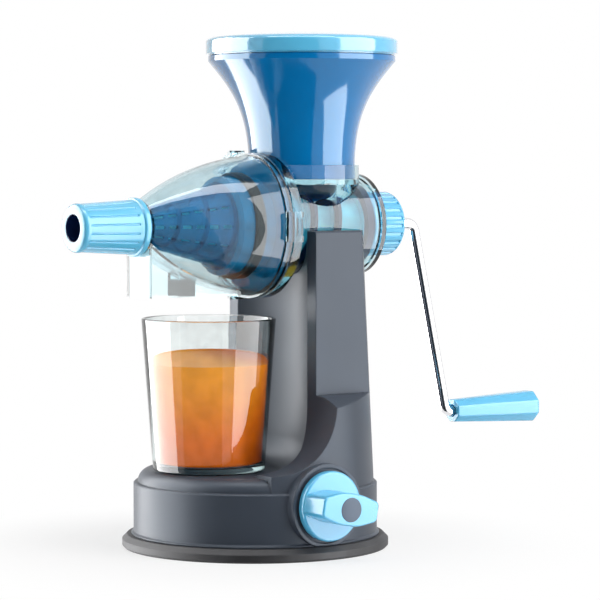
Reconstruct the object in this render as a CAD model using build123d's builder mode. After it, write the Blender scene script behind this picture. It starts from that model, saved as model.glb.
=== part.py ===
from build123d import *
import math
import os

os.makedirs("parts", exist_ok=True)

# Hand-cranked masticating juicer on a vacuum base.
# Millimetres.  +Z is up, +X runs along the barrel from the pulp nozzle to the crank,
# and the origin is the centre of the rubber foot on the table.

# ---------------------------------------------------------------- driving sizes
# Fits between pieces
seat_gap = 0.1
running_gap = 0.05
moving_gap = 0.3
cut_margin = 10.0

# Rubber suction foot
foot_margin = 7.0
foot_height = 8.0
foot_skin = 3.0
foot_bevel = 3.0
foot_edge = 1.2
foot_inner_land = 4.0
foot_inner_slope = 5.0
groove_floor = 5.0

# Stand: round base, tapered column, cup bay
band_radius = 75.0
band_step = 2.0
band_top = 40.0
band_edge = 0.8
lip_width = 1.4
lip_height = 2.0
column_lean = 7.0
deck_top = 48.0
deck_thickness = 4.0
shoulder_radius = 8.0
shoulder_step = 0.6
stand_wall = 3.0
column_front = 12.5
column_half_width = 47.0
cradle_rise = 3.0
flare_radius = 45.0
flare_height = 95.0
cavity_roof = 44.0
bay_radius = 60.0
bay_fillet = 17.0
cup_x = -34.0

# Vacuum lever and its lift
lever_z = 32.0
boss_radius = 25.0
boss_stand_off = 3.5
boss_depth = 14.5
boss_ring_width = 2.5
boss_recess = 1.2
shaft_radius = 7.0
shaft_end = 8.0
shaft_sleeve_wall = 3.5
sleeve_end = 20.0
cam_offset = 3.5
cam_pin_radius = 2.5
lever_turn = 90.0
yoke_width = 17.0
yoke_thickness = 8.0
yoke_wall = 2.6
stem_plate_radius = 26.0
stem_plate_thickness = 3.0
guide_thickness = 3.0
guide_margin = 3.0
guide_bottom = 14.0
sleeve_web = 3.0
sleeve_web_gap = 4.0
knob_radius = 21.0
knob_thickness = 5.0
wing_depth = 19.0
wing_half_length = 20.0
wing_end_height = 12.5
wing_corner = 3.0
wing_tilt = 6.0
hub_radius = 10.0
cap_radius = 7.3
cap_thickness = 3.0
grip_screw_length = 9.0
grip_cross_length = 5.6
grip_cross_width = 1.0
counterbore_step = 1.4
counterbore_depth = 3.0
shaft_socket = 6.0
knob_screw_room = 3.0
knob_screw_head_radius = 3.2
knob_screw_head = 2.2
cross_length = 4.4
cross_width = 0.8
clip_groove_depth = 1.2
circlip_rim = 1.8
cam_pin_excess = 1.5
pilot_depth = 12.0
clip_groove = 1.0

# Barrel, all measured along the crank axis
axis_height = 197.0
barrel_radius = 30.0
barrel_bore = 25.8
flange_radius = 44.5
seam = -1.0
barrel_flange = 6.0
barrel_end = 78.0
end_wall = 4.0
end_flange_radius = 31.5
neck_radius = 17.0
neck_bore = 12.0
neck_length = 19.0
throat_x = 35.0
throat_radius = 35.5
throat_wall = 2.2
throat_rise = 37.0
ledge_depth = 9.0
ledge_thickness = 3.0
feed_radius = 23.0
keel_front = 27.0
keel_length = 31.0
keel_neck = 8.0
keel_head = 16.0
keel_depth = 7.0
keel_plate = 3.0

# Front housing, juice spout and splash skirt
gasket_thickness = 1.0
gasket_inner = 37.0
housing_flange = 4.5
housing_wall = 2.4
housing_nose = -83.4
nose_radius = 15.4
tail_radius = 43.0
belly_x = -48.2
belly_radius = 33.5
socket_radius = 12.0
socket_length = 16.0
skirt_front = -84.0
skirt_back = -19.0
skirt_half_width = 13.0
skirt_drop = 42.0
skirt_wall = 2.0
spout_front = -60.0
spout_back = -48.0
spout_wall = 1.8
clip_width = 11.0
clip_height = 18.0
clip_depth = 3.0
clip_slot = 4.6
clip_count = 3
lug_inset = 2.4
lug_width = 2.6
lug_height = 3.4
lug_stand_off = 0.7
clip_reach = 5.0
clip_root_sink = 0.4
clip_root_depth = 3.0

# Strainer cone
strainer_tip_radius = 11.0
strainer_root_radius = 24.4
strainer_root_x = -31.0
strainer_wall = 1.8
collar_radius = 30.0
collar_bore = 26.0
slot_width = 2.0
slot_rows = 6
slot_columns = 12
slot_bridge = 2.2
ring_seal_x = -20.0
ring_seal_width = 7.0
ring_seal_radius = 32.5

# Auger
flight_gap = 0.6
flight_pitch = 18.0
flight_tip = 2.2
flight_root = 4.0
flight_break = 0.03
core_tip_radius = 4.5
core_root_radius = 16.5
auger_disc = 5.0
journal_radius = 8.0
washer_thickness = 1.4
seal_thickness = 2.4
seal_radius = 15.0

# Rear nut
nut_radius = 20.5
nut_length = 25.0
nut_end_wall = 4.5
nut_ribs = 20
nut_rib_depth = 0.9
nut_rib_width = 1.6
nut_plain_ends = 7.0

# Crank
rod_radius = 3.5
rod_reach = 121.5
arm_drop = 122.0
arm_slant = 27.0
rod_end = 213.0
bend_radius = 6.0
pin_radius = 1.5

# Grip
grip_start = 154.0
grip_end = 220.0
grip_inner_radius = 7.7
grip_outer_radius = 10.8
grip_sides = 8
screw_head_radius = 4.6
screw_head = 2.6
end_cap = 3.0

# Pulp nozzle
nozzle_end = -129.0
nozzle_tip_radius = 14.6
nozzle_root_radius = 16.5
nozzle_collar_radius = 17.7
nozzle_collar = 4.0
nozzle_bore = 8.0
nozzle_grooves = 18
nozzle_groove_depth = 0.9
nozzle_groove_width = 1.5
nozzle_plain_ends = 9.0

# Hopper and lid
hopper_height = 67.5
hopper_neck_rise = 4.0
hopper_waist_step = 2.6
hopper_waist_rise = 19.0
hopper_bell_step = 10.2
hopper_bell_rise = 41.0
hopper_rim_radius = 58.0
hopper_neck_radius = 33.0
hopper_wall = 2.5
hopper_lip = 3.0
lid_radius = 59.5
lid_seam = 1.0
lid_edge = 9.5
lid_dome = 4.0
lid_wall = 2.0
lid_bevel = 1.5

# Juice cup
cup_height = 93.0
cup_top_radius = 41.0
cup_base_radius = 34.0
cup_wall = 2.0
cup_floor = 4.0

# ---------------------------------------------------------------- derived places
foot_radius = band_radius + foot_margin
body_radius = band_radius - band_step
body_top_radius = body_radius - column_lean
boss_face = body_radius + boss_stand_off
column_top = axis_height - cradle_rise
cavity_top = column_top - cavity_roof
throat_top = axis_height + throat_rise
ledge_height = throat_top - ledge_depth
skirt_bottom = axis_height - skirt_drop
hopper_top = throat_top + hopper_height
lid_bottom = hopper_top + lid_seam

BARREL_AXIS = Axis((0, 0, axis_height), (1, 0, 0))
BARREL_SECTION = Plane(origin=(0, 0, axis_height), x_dir=(1, 0, 0), z_dir=(0, -1, 0))
LEVER_AXIS = Axis((0, 0, lever_z), (0, -1, 0))
LEVER_SECTION = Plane(origin=(0, 0, lever_z), x_dir=(0, -1, 0), z_dir=(-1, 0, 0))
STAND_FRONT = Plane(origin=(0, 0, 0), x_dir=(1, 0, 0), z_dir=(0, -1, 0))
STAND_SIDE = Plane(origin=(0, 0, 0), x_dir=(0, 1, 0), z_dir=(1, 0, 0))


def lever_plane(distance):
    """A plane across the lever shaft, this far in front of the stand's middle."""
    return Plane(origin=(0, -distance, lever_z), x_dir=(1, 0, 0), z_dir=(0, -1, 0))


def cross_plane(x):
    """A plane across the crank axis, with its normal towards the crank."""
    return Plane(origin=(x, 0, axis_height), x_dir=(0, 1, 0), z_dir=(1, 0, 0))


def upright_plane(x):
    """A plane through a vertical axis at x, for profiles in radius and height."""
    return Plane(origin=(x, 0, 0), x_dir=(1, 0, 0), z_dir=(0, -1, 0))


def outline(plane, points):
    """A closed straight-sided face on a plane."""
    with BuildSketch(plane) as sketch:
        with BuildLine():
            Polyline(*points, close=True)
        make_face()
    return sketch.sketch


def barrel_ring(start, end, outer, inner=0.0):
    """The half section of a ring round the crank axis."""
    return outline(BARREL_SECTION, [(start, inner), (end, inner), (end, outer), (start, outer)])


def lever_ring(start, end, outer, inner=0.0):
    """The half section of a ring round the lever shaft."""
    return outline(LEVER_SECTION, [(start, inner), (end, inner), (end, outer), (start, outer)])


def finish(builder, name):
    """Label a finished piece and write its file."""
    builder.part.label = name
    export_step(builder.part, f"parts/{name}.step")


# ---------------------------------------------------------------- suction foot
foot_lip_inner = body_radius - stand_wall - seat_gap
foot_lip_outer = band_radius + seat_gap
with BuildPart() as suction_cup:
    with BuildSketch(STAND_FRONT):
        with BuildLine():
            Polyline(
                (0, 0),
                (foot_radius - foot_edge, 0),
                (foot_radius, foot_edge),
                (foot_radius, foot_height - foot_bevel),
                (foot_radius - foot_bevel, foot_height),
                (foot_lip_outer, foot_height),
                (foot_lip_outer, groove_floor),
                (foot_lip_inner, groove_floor),
                (foot_lip_inner, foot_height),
                (foot_lip_inner - foot_inner_land, foot_height),
                (foot_lip_inner - foot_inner_land - foot_inner_slope, foot_skin),
                (0, foot_skin),
                close=True,
            )
        make_face()
    revolve(axis=Axis.Z)
finish(suction_cup, "suction_cup")


# ---------------------------------------------------------------- stand
def column_shape(inset, floor, top, bay_floor):
    """The tapered column with its cup bay scooped out, its faces moved in by inset."""
    slope = (body_radius - body_top_radius) / (column_top - band_top)
    base_radius = body_radius - inset - slope * (floor - band_top)
    crown_radius = body_radius - inset - slope * (top - band_top)
    front = column_front + inset
    half = column_half_width - inset
    arc = flare_radius + inset
    foot_z = flare_height - arc
    low = min(floor, foot_z) - 5
    reach = body_radius + cut_margin
    bay_edge = bay_radius + inset
    cove = bay_fillet + inset
    with BuildPart() as column:
        with BuildSketch(STAND_FRONT):
            with BuildLine():
                Polyline((0, floor), (base_radius, floor), (crown_radius, top), (0, top), close=True)
            make_face()
        revolve(axis=Axis.Z)
        # front face: upright, then a concave sweep down to the deck
        with BuildSketch(STAND_FRONT.offset(-reach)):
            with BuildLine():
                Polyline((front, flare_height), (front, top + 1), (reach, top + 1), (reach, low))
                Polyline((reach, low), (front - arc, low), (front - arc, foot_z))
                RadiusArc((front - arc, foot_z), (front, flare_height), -arc)
            make_face()
        extrude(amount=2 * reach, mode=Mode.INTERSECT)
        # flanks: upright, then flaring out to the base
        with BuildSketch(STAND_SIDE.offset(-reach)):
            with BuildLine():
                Polyline((-half, flare_height), (-half, top + 1), (half, top + 1), (half, flare_height))
                RadiusArc((half, flare_height), (half + arc, foot_z), arc)
                Polyline((half + arc, foot_z), (half + arc, low), (-half - arc, low), (-half - arc, foot_z))
                RadiusArc((-half - arc, foot_z), (-half, flare_height), arc)
            make_face()
        extrude(amount=2 * reach, mode=Mode.INTERSECT)
        # round bay for the cup, with a coved floor
        cut_top = top + cut_margin
        with BuildSketch(upright_plane(cup_x)):
            with BuildLine():
                Line((0, bay_floor), (bay_edge - cove, bay_floor))
                RadiusArc((bay_edge - cove, bay_floor), (bay_edge, bay_floor + cove), -cove)
                Polyline((bay_edge, bay_floor + cove), (bay_edge, cut_top), (0, cut_top), (0, bay_floor))
            make_face()
        revolve(axis=Axis((cup_x, 0, 0), (0, 0, 1)), mode=Mode.SUBTRACT)
    return column.part


deck_under = deck_top - deck_thickness
cradle_radius = barrel_radius + moving_gap
slot_gap = moving_gap
bore_in_boss = shaft_radius + running_gap
yoke_half = yoke_width / 2
guide_inner = yoke_half + moving_gap
guide_top = deck_under + 1
web_top = deck_top - 1
shoulder_edge = body_radius - shoulder_step
deck_edge = shoulder_edge - shoulder_radius
with BuildPart() as stand_body:
    with BuildSketch(STAND_FRONT):
        with BuildLine():
            Polyline(
                (0, groove_floor),
                (band_radius, groove_floor),
                (band_radius, foot_height + seat_gap),
                (band_radius + lip_width, foot_height + seat_gap),
                (band_radius + lip_width, foot_height + lip_height / 2),
                (band_radius, foot_height + lip_height),
                (band_radius, band_top - band_edge),
                (band_radius - band_edge, band_top),
                (shoulder_edge, band_top),
            )
            RadiusArc((shoulder_edge, band_top), (deck_edge, deck_top), -shoulder_radius)
            Polyline((deck_edge, deck_top), (0, deck_top), (0, groove_floor))
        make_face()
    revolve(axis=Axis.Z)
    add(column_shape(0, band_top - deck_thickness, column_top, deck_top))
    # round boss that carries the lever
    revolve(
        lever_ring(boss_face - boss_depth, boss_face, boss_radius),
        axis=LEVER_AXIS,
    )
    with BuildSketch(Plane.XY.offset(groove_floor - 2 * cut_margin)):
        Circle(foot_radius + cut_margin)
    extrude(amount=2 * cut_margin + foot_height + seat_gap - groove_floor, mode=Mode.SUBTRACT)
    with BuildSketch(Plane.XY.offset(groove_floor)):
        Circle(band_radius)
    extrude(amount=foot_height + seat_gap - groove_floor)
    # hollow moulding, open under the foot
    with BuildSketch(Plane.XY.offset(groove_floor)):
        Circle(body_radius - stand_wall)
    extrude(amount=deck_under - groove_floor, mode=Mode.SUBTRACT)
    add(column_shape(stand_wall, deck_under - 1, cavity_top, deck_under), mode=Mode.SUBTRACT)
    # sleeve that carries the cam shaft, and the two guides of the yoke
    revolve(
        lever_ring(sleeve_end, boss_face - 1, shaft_radius + shaft_sleeve_wall),
        axis=LEVER_AXIS,
    )
    with Locations((0, -(boss_face + sleeve_end) / 2, (lever_z + web_top) / 2)):
        Box(sleeve_web, boss_face - sleeve_end - 2 * sleeve_web_gap, web_top - lever_z)
    for side in (-1, 1):
        with Locations((side * (guide_inner + guide_thickness / 2), 0, (guide_top + guide_bottom) / 2)):
            Box(guide_thickness, yoke_thickness + 2 * guide_margin, guide_top - guide_bottom)
    with BuildSketch(lever_plane(0)):
        Circle(bore_in_boss)
    extrude(amount=boss_face + 5, mode=Mode.SUBTRACT)
    # shallow recess of the boss face, for the knob's washer
    revolve(
        lever_ring(boss_face - boss_recess, boss_face + 1, boss_radius - boss_ring_width),
        axis=LEVER_AXIS,
        mode=Mode.SUBTRACT,
    )
    # cradle and T-slot for the barrel
    with BuildSketch(cross_plane(column_front - cut_margin)):
        Circle(cradle_radius)
        with Locations((0, cradle_radius)):
            Rectangle(2 * cradle_radius, 2 * cradle_radius)
    extrude(amount=body_radius + 2 * cut_margin, mode=Mode.SUBTRACT)
    with BuildSketch(cross_plane(keel_front - slot_gap)):
        neck_height = barrel_radius + keel_depth
        with Locations((0, -neck_height / 2)):
            Rectangle(keel_neck + 2 * slot_gap, neck_height)
        with Locations((0, -barrel_radius - keel_depth + keel_plate / 2)):
            Rectangle(keel_head + 2 * slot_gap, keel_plate + 2 * slot_gap)
    extrude(amount=body_radius, mode=Mode.SUBTRACT)
    crown = stand_body.faces().filter_by(Plane.XY).group_by(Axis.Z)[-1]
    flank_edges = crown.edges().filter_by(Axis.X).filter_by(lambda e: abs(e.center().Y) > cradle_radius + 5)
    chamfer(flank_edges, length=1.0)
finish(stand_body, "stand_body")

# ---------------------------------------------------------------- vacuum lever
disc_face = boss_face + moving_gap
knob_face = disc_face + knob_thickness + wing_depth
clip_start = sleeve_end - moving_gap - clip_groove
shaft_front = disc_face + knob_thickness + shaft_socket
with BuildPart() as cam_shaft:
    revolve(lever_ring(shaft_end, shaft_front, shaft_radius), axis=LEVER_AXIS)
    cam_angle = math.radians(-lever_turn / 2)
    cam_x = -cam_offset * math.cos(cam_angle)
    cam_z = cam_offset * math.sin(cam_angle)
    with BuildSketch(lever_plane(-yoke_thickness / 2 - 1)):
        with Locations((cam_x, cam_z)):
            Circle(cam_pin_radius)
    extrude(amount=shaft_end + yoke_thickness / 2 + cam_pin_excess)
    revolve(
        lever_ring(clip_start, clip_start + clip_groove, shaft_radius + 1, shaft_radius - clip_groove_depth),
        axis=LEVER_AXIS,
        mode=Mode.SUBTRACT,
    )
    with BuildSketch(lever_plane(shaft_front)):
        Circle(pin_radius + seat_gap)
    extrude(amount=-pilot_depth, mode=Mode.SUBTRACT)
finish(cam_shaft, "cam_shaft")

with BuildPart() as circlip:
    clip_plane = lever_plane(clip_start + seat_gap)
    with BuildSketch(clip_plane):
        Circle(shaft_radius + circlip_rim)
        Circle(shaft_radius - clip_groove_depth + seat_gap, mode=Mode.SUBTRACT)
        with Locations((0, -shaft_radius)):
            Rectangle(shaft_radius, 2 * shaft_radius, mode=Mode.SUBTRACT)
    extrude(amount=clip_groove - 2 * seat_gap)
finish(circlip, "circlip")

with BuildPart() as knob_washer:
    revolve(
        lever_ring(boss_face - boss_recess, boss_face, knob_radius - 2, shaft_radius + 1),
        axis=LEVER_AXIS,
    )
finish(knob_washer, "knob_washer")

screw_seat = knob_face - cap_thickness - knob_screw_room
with BuildPart() as lever_knob:
    with BuildSketch(lever_plane(disc_face)):
        Circle(knob_radius)
    extrude(amount=knob_thickness)
    fillet(lever_knob.edges().filter_by(GeomType.CIRCLE).group_by(Axis.Y)[0], radius=1.2)
    with BuildSketch(lever_plane(disc_face + knob_thickness - 0.5)):
        with Locations(Location((0, 0), wing_tilt)):
            RectangleRounded(2 * wing_half_length, wing_end_height, radius=wing_corner)
            Circle(hub_radius)
    extrude(amount=wing_depth + 0.5)
    front_edges = lever_knob.edges().group_by(Axis.Y)[0]
    chamfer(front_edges, length=1.2)
    with BuildSketch(lever_plane(disc_face - 1)):
        Circle(shaft_radius + seat_gap)
    extrude(amount=shaft_front + seat_gap - disc_face + 1, mode=Mode.SUBTRACT)
    with BuildSketch(lever_plane(disc_face)):
        Circle(pin_radius + seat_gap)
    extrude(amount=knob_thickness + wing_depth + 1, mode=Mode.SUBTRACT)
    with BuildSketch(lever_plane(knob_face + 1)):
        Circle(cap_radius + seat_gap)
    extrude(amount=screw_seat - knob_face - 1, mode=Mode.SUBTRACT)
finish(lever_knob, "lever_knob")

with BuildPart() as knob_screw:
    revolve(lever_ring(disc_face + knob_thickness - 3, screw_seat + 0.1, pin_radius), axis=LEVER_AXIS)
    revolve(lever_ring(screw_seat, screw_seat + knob_screw_head, knob_screw_head_radius), axis=LEVER_AXIS)
    with BuildSketch(lever_plane(screw_seat + knob_screw_head - cross_width)):
        Rectangle(cross_length, cross_width)
        Rectangle(cross_width, cross_length)
    extrude(amount=knob_screw_head, mode=Mode.SUBTRACT)
finish(knob_screw, "knob_screw")

with BuildPart() as knob_cap:
    revolve(lever_ring(knob_face - cap_thickness, knob_face + 0.6, cap_radius), axis=LEVER_AXIS)
    fillet(knob_cap.edges().filter_by(GeomType.CIRCLE).group_by(Axis.Y)[0], radius=0.5)
finish(knob_cap, "knob_cap")

# ---------------------------------------------------------------- pull stem of the foot
plate_bottom = foot_skin + moving_gap
yoke_slot_z = lever_z + cam_z
slot_half_height = cam_pin_radius + moving_gap
slot_left = cam_x - cam_pin_radius - moving_gap - (cam_offset + cam_x)
slot_right = cam_x + cam_pin_radius + moving_gap
with BuildPart() as pull_stem:
    with BuildSketch(Plane.XY.offset(plate_bottom)):
        Circle(stem_plate_radius)
    extrude(amount=stem_plate_thickness)
    chamfer(pull_stem.edges().group_by(Axis.Z)[-1], length=0.8)
    with BuildSketch(Plane.XY.offset(plate_bottom + stem_plate_thickness / 2)):
        Rectangle(yoke_width, yoke_thickness)
    yoke_height = yoke_slot_z + slot_half_height + yoke_wall - plate_bottom - stem_plate_thickness / 2
    extrude(amount=yoke_height)
    with BuildSketch(Plane.XZ.offset(-yoke_thickness)):
        with Locations(((slot_left + slot_right) / 2, yoke_slot_z)):
            Rectangle(slot_right - slot_left, 2 * slot_half_height)
    extrude(amount=2 * yoke_thickness, mode=Mode.SUBTRACT)
finish(pull_stem, "pull_stem")

# ---------------------------------------------------------------- barrel
barrel_start = seam
tube_start = seam + barrel_flange
wall_inside = barrel_end - end_wall
neck_end = barrel_end + neck_length
with BuildPart() as barrel:
    revolve(barrel_ring(barrel_start, tube_start, flange_radius), axis=BARREL_AXIS)
    revolve(barrel_ring(barrel_start, barrel_end, barrel_radius), axis=BARREL_AXIS)
    revolve(barrel_ring(wall_inside, barrel_end, end_flange_radius), axis=BARREL_AXIS)
    chamfer(barrel.edges().filter_by(GeomType.CIRCLE).group_by(Axis.X)[-1], length=1.0)
    revolve(barrel_ring(barrel_end - 1, neck_end, neck_radius), axis=BARREL_AXIS)
    # feed throat: a socket that tapers into the tube
    with BuildSketch(upright_plane(throat_x)):
        with BuildLine():
            Polyline(
                (0, axis_height),
                (barrel_radius - 6, axis_height + 6),
                (throat_radius, ledge_height - ledge_thickness),
                (throat_radius, throat_top),
                (0, throat_top),
                close=True,
            )
        make_face()
    revolve(axis=Axis((throat_x, 0, 0), (0, 0, 1)))
    # T-shaped keel that slides into the stand
    with BuildSketch(cross_plane(keel_front)):
        with Locations((0, -barrel_radius - keel_depth / 2 + 1)):
            Rectangle(keel_neck, keel_depth + 2)
        with Locations((0, -barrel_radius - keel_depth + keel_plate / 2)):
            Rectangle(keel_head, keel_plate)
    extrude(amount=keel_length)
    # bore, feed opening, hopper socket and bearing seat
    revolve(barrel_ring(barrel_start - 1, wall_inside, barrel_bore), axis=BARREL_AXIS, mode=Mode.SUBTRACT)
    with BuildSketch(Plane.XY.offset(axis_height)):
        with Locations((throat_x, 0)):
            Circle(feed_radius)
    extrude(amount=throat_top - axis_height, mode=Mode.SUBTRACT)
    with BuildSketch(Plane.XY.offset(ledge_height)):
        with Locations((throat_x, 0)):
            Circle(throat_radius - throat_wall)
    extrude(amount=flange_radius, mode=Mode.SUBTRACT)
    revolve(
        barrel_ring(wall_inside - 1, wall_inside + seal_thickness + seat_gap, seal_radius + seat_gap),
        axis=BARREL_AXIS,
        mode=Mode.SUBTRACT,
    )
    revolve(barrel_ring(wall_inside, neck_end + 1, neck_bore), axis=BARREL_AXIS, mode=Mode.SUBTRACT)
    # lugs that the housing's clips hook on to
    for clip_number in range(clip_count):
        clip_angle = 180 + clip_number * 360 / clip_count
        lug_turn = Location((0, 0, 0), (clip_angle - 90, 0, 0))
        with Locations(Location((seam + lug_inset, 0, axis_height)) * lug_turn):
            with Locations((0, 0, flange_radius + lug_stand_off)):
                Box(lug_width, clip_slot * 2, lug_height)
finish(barrel, "barrel")

# ---------------------------------------------------------------- flange gasket
gasket_start = seam - gasket_thickness
with BuildPart() as housing_gasket:
    revolve(
        barrel_ring(gasket_start, seam, flange_radius - 1.0, gasket_inner),
        axis=BARREL_AXIS,
    )
finish(housing_gasket, "housing_gasket")

# ---------------------------------------------------------------- front housing
housing_end = gasket_start
flange_start = housing_end - housing_flange
clip_base = flange_radius + moving_gap


def ogive(inset):
    """The housing's bell-shaped half section, with its wall face moved in by inset."""
    with BuildSketch(BARREL_SECTION) as bell:
        with BuildLine():
            nose = (housing_nose + inset, nose_radius - inset * 0.7)
            belly = (belly_x, belly_radius - inset)
            tail = (flange_start, tail_radius - inset)
            ThreePointArc(nose, belly, tail)
            Polyline(tail, (housing_end, tail_radius - inset), (housing_end, 0), (nose[0], 0), nose)
        make_face()
    return bell.sketch


with BuildPart() as front_housing:
    revolve(ogive(0), axis=BARREL_AXIS)
    revolve(barrel_ring(flange_start, housing_end, flange_radius), axis=BARREL_AXIS)
    skirt_middle = (skirt_front + skirt_back) / 2
    with BuildSketch(Plane.XY.offset(skirt_bottom)):
        with Locations((skirt_middle, 0)):
            Rectangle(skirt_back - skirt_front, 2 * skirt_half_width)
            Rectangle(
                skirt_back - skirt_front - 2 * skirt_wall,
                2 * (skirt_half_width - skirt_wall),
                mode=Mode.SUBTRACT,
            )
        with Locations(((spout_front + spout_back) / 2, 0)):
            spout_size = spout_back - spout_front
            Rectangle(spout_size, spout_size)
    extrude(amount=axis_height - nose_radius + 6 - skirt_bottom)
    revolve(barrel_ring(housing_nose - socket_length, housing_nose + 2, socket_radius), axis=BARREL_AXIS)
    # inside of the shell, pulp outlet and juice spout
    revolve(ogive(housing_wall), axis=BARREL_AXIS, mode=Mode.SUBTRACT)
    outlet_bore = strainer_tip_radius - 1.6
    revolve(
        barrel_ring(housing_nose - socket_length - 1, housing_nose + 5, outlet_bore),
        axis=BARREL_AXIS,
        mode=Mode.SUBTRACT,
    )
    spout_bore = spout_size - 2 * spout_wall
    with BuildSketch(Plane.XY.offset(skirt_bottom - 1)):
        with Locations(((spout_front + spout_back) / 2, 0)):
            Rectangle(spout_bore, spout_bore)
    extrude(amount=axis_height - 12 - skirt_bottom, mode=Mode.SUBTRACT)
    # slotted clips on the flange that hook over the barrel's lugs
    for clip_number in range(clip_count):
        clip_angle = 180 + clip_number * 360 / clip_count
        clip_turn = Location((0, 0, 0), (clip_angle - 90, 0, 0))
        with Locations(Location((0, 0, axis_height)) * clip_turn):
            with Locations((housing_end - clip_width / 2 + clip_reach, 0, clip_base + clip_depth / 2)):
                Box(clip_width, clip_height, clip_depth)
            with Locations((housing_end - housing_flange / 2, 0, clip_base - clip_root_sink)):
                Box(housing_flange, clip_height, clip_root_depth)
            with Locations((seam + lug_inset, 0, clip_base + clip_depth / 2)):
                Box(clip_slot, clip_slot * 2 + 2, clip_depth + 2, mode=Mode.SUBTRACT)
finish(front_housing, "front_housing")

# ---------------------------------------------------------------- strainer
strainer_tip = housing_nose + housing_wall + 1.2
bowl_radius = tail_radius - housing_wall - seat_gap
with BuildPart() as strainer:
    with BuildSketch(BARREL_SECTION):
        with BuildLine():
            Polyline(
                (strainer_tip, strainer_tip_radius),
                (strainer_root_x, strainer_root_radius),
                (strainer_root_x + 3, collar_radius),
                (gasket_start - 3, collar_radius),
                (gasket_start - 3, bowl_radius),
                (gasket_start, bowl_radius),
                (gasket_start, collar_bore),
                (strainer_root_x + 3, collar_bore),
                (strainer_root_x, strainer_root_radius - strainer_wall),
                (strainer_tip, strainer_tip_radius - strainer_wall),
                close=True,
            )
        make_face()
    revolve(axis=BARREL_AXIS)
    cone_length = strainer_root_x - strainer_tip
    slot_pitch = cone_length / slot_rows
    for row in range(slot_rows):
        row_centre = strainer_tip + slot_pitch * (row + 0.5)
        with Locations(Location((row_centre, 0, axis_height), (0, 90, 0))):
            with PolarLocations(strainer_root_radius / 2, slot_columns):
                Box(strainer_root_radius, slot_width, slot_pitch - slot_bridge, mode=Mode.SUBTRACT)
finish(strainer, "strainer")

with BuildPart() as strainer_seal:
    revolve(
        barrel_ring(
            ring_seal_x,
            ring_seal_x + ring_seal_width,
            ring_seal_radius,
            collar_radius + seat_gap,
        ),
        axis=BARREL_AXIS,
    )
    fillet(strainer_seal.edges().filter_by(GeomType.CIRCLE).sort_by(SortBy.LENGTH)[-2:], radius=0.9)
finish(strainer_seal, "strainer_seal")

# ---------------------------------------------------------------- auger
flight_radius = barrel_bore - flight_gap
cone_slope = (strainer_root_radius - strainer_tip_radius) / (strainer_root_x - strainer_tip)
auger_tip = strainer_tip + 1.0
disc_start = wall_inside - washer_thickness - 2 * moving_gap - auger_disc
flight_start = disc_start - 1.0
journal_end = neck_end + 1.0


def cone_radius(x):
    """The strainer's inside radius along its cone."""
    return strainer_tip_radius - strainer_wall + cone_slope * (x - strainer_tip)


def flight_line(start, turns, radius, cone_angle=0.0):
    """A left-handed helix round the crank axis."""
    return Helix(
        pitch=flight_pitch,
        height=turns * flight_pitch,
        radius=radius,
        center=(start, 0, axis_height),
        direction=(1, 0, 0),
        cone_angle=cone_angle,
        lefthand=True,
        mode=Mode.PRIVATE,
    )


def flight_section(line, depth):
    """The flight's section at the start of its helix: thin at the rim, thick at the core."""
    start = line @ 0
    radial = Vector(0, start.Y, start.Z - axis_height).normalized()
    across = Vector(1, 0, 0).cross(radial)
    return outline(
        Plane(origin=start, x_dir=(1, 0, 0), z_dir=across),
        [(-flight_tip / 2, 0), (flight_tip / 2, 0), (flight_root / 2, -depth), (-flight_root / 2, -depth)],
    )


cone_start = auger_tip + 2.5
cone_tip_radius = cone_radius(cone_start) - flight_gap
cone_turns = math.ceil((strainer_root_x + 3 - cone_start) / flight_pitch)
straight_start = cone_start + cone_turns * flight_pitch
straight_turns = (flight_start - straight_start - flight_root) / flight_pitch
cone_helix = flight_line(
    cone_start, cone_turns - flight_break, cone_tip_radius, math.degrees(math.atan(cone_slope))
)
straight_helix = flight_line(straight_start, straight_turns, flight_radius)
with BuildPart() as auger:
    with BuildSketch(BARREL_SECTION):
        with BuildLine():
            Polyline(
                (auger_tip, 0),
                (auger_tip, core_tip_radius - 1),
                (auger_tip + 1, core_tip_radius),
                (strainer_root_x, core_root_radius),
                (disc_start, core_root_radius),
                (disc_start, flight_radius - moving_gap),
                (disc_start + auger_disc, flight_radius - moving_gap),
                (disc_start + auger_disc, journal_radius),
                (journal_end, journal_radius),
                (journal_end, 0),
                close=True,
            )
        make_face()
    revolve(axis=BARREL_AXIS)
    sweep(flight_section(cone_helix, cone_tip_radius - 0.8), path=cone_helix, is_frenet=True)
    straight_depth = flight_radius - core_root_radius + 2
    sweep(flight_section(straight_helix, straight_depth), path=straight_helix, is_frenet=True)
    rod_socket = disc_start - 4
    with BuildSketch(cross_plane(journal_end + 1)):
        Circle(rod_radius + seat_gap / 2)
    extrude(amount=rod_socket - seat_gap - journal_end - 1, mode=Mode.SUBTRACT)
    pin_x = disc_start + auger_disc / 2
    with BuildSketch(Plane(origin=(pin_x, 0, axis_height), x_dir=(1, 0, 0), z_dir=(0, 0, 1))):
        Circle(pin_radius + seat_gap / 2)
    extrude(amount=flight_radius + 1, both=True, mode=Mode.SUBTRACT)
finish(auger, "auger")

pin_half_length = flight_radius - 1
with BuildPart() as drive_pin:
    with BuildSketch(Plane.XY.offset(axis_height - pin_half_length)):
        with Locations((pin_x, 0)):
            Circle(pin_radius)
    extrude(amount=2 * pin_half_length)
    chamfer(drive_pin.edges().filter_by(GeomType.CIRCLE), length=0.3)
finish(drive_pin, "drive_pin")

washer_start = wall_inside - washer_thickness - moving_gap
with BuildPart() as thrust_washer:
    revolve(
        barrel_ring(
            washer_start,
            washer_start + washer_thickness,
            flight_radius - 6,
            journal_radius + seat_gap,
        ),
        axis=BARREL_AXIS,
    )
finish(thrust_washer, "thrust_washer")

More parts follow.
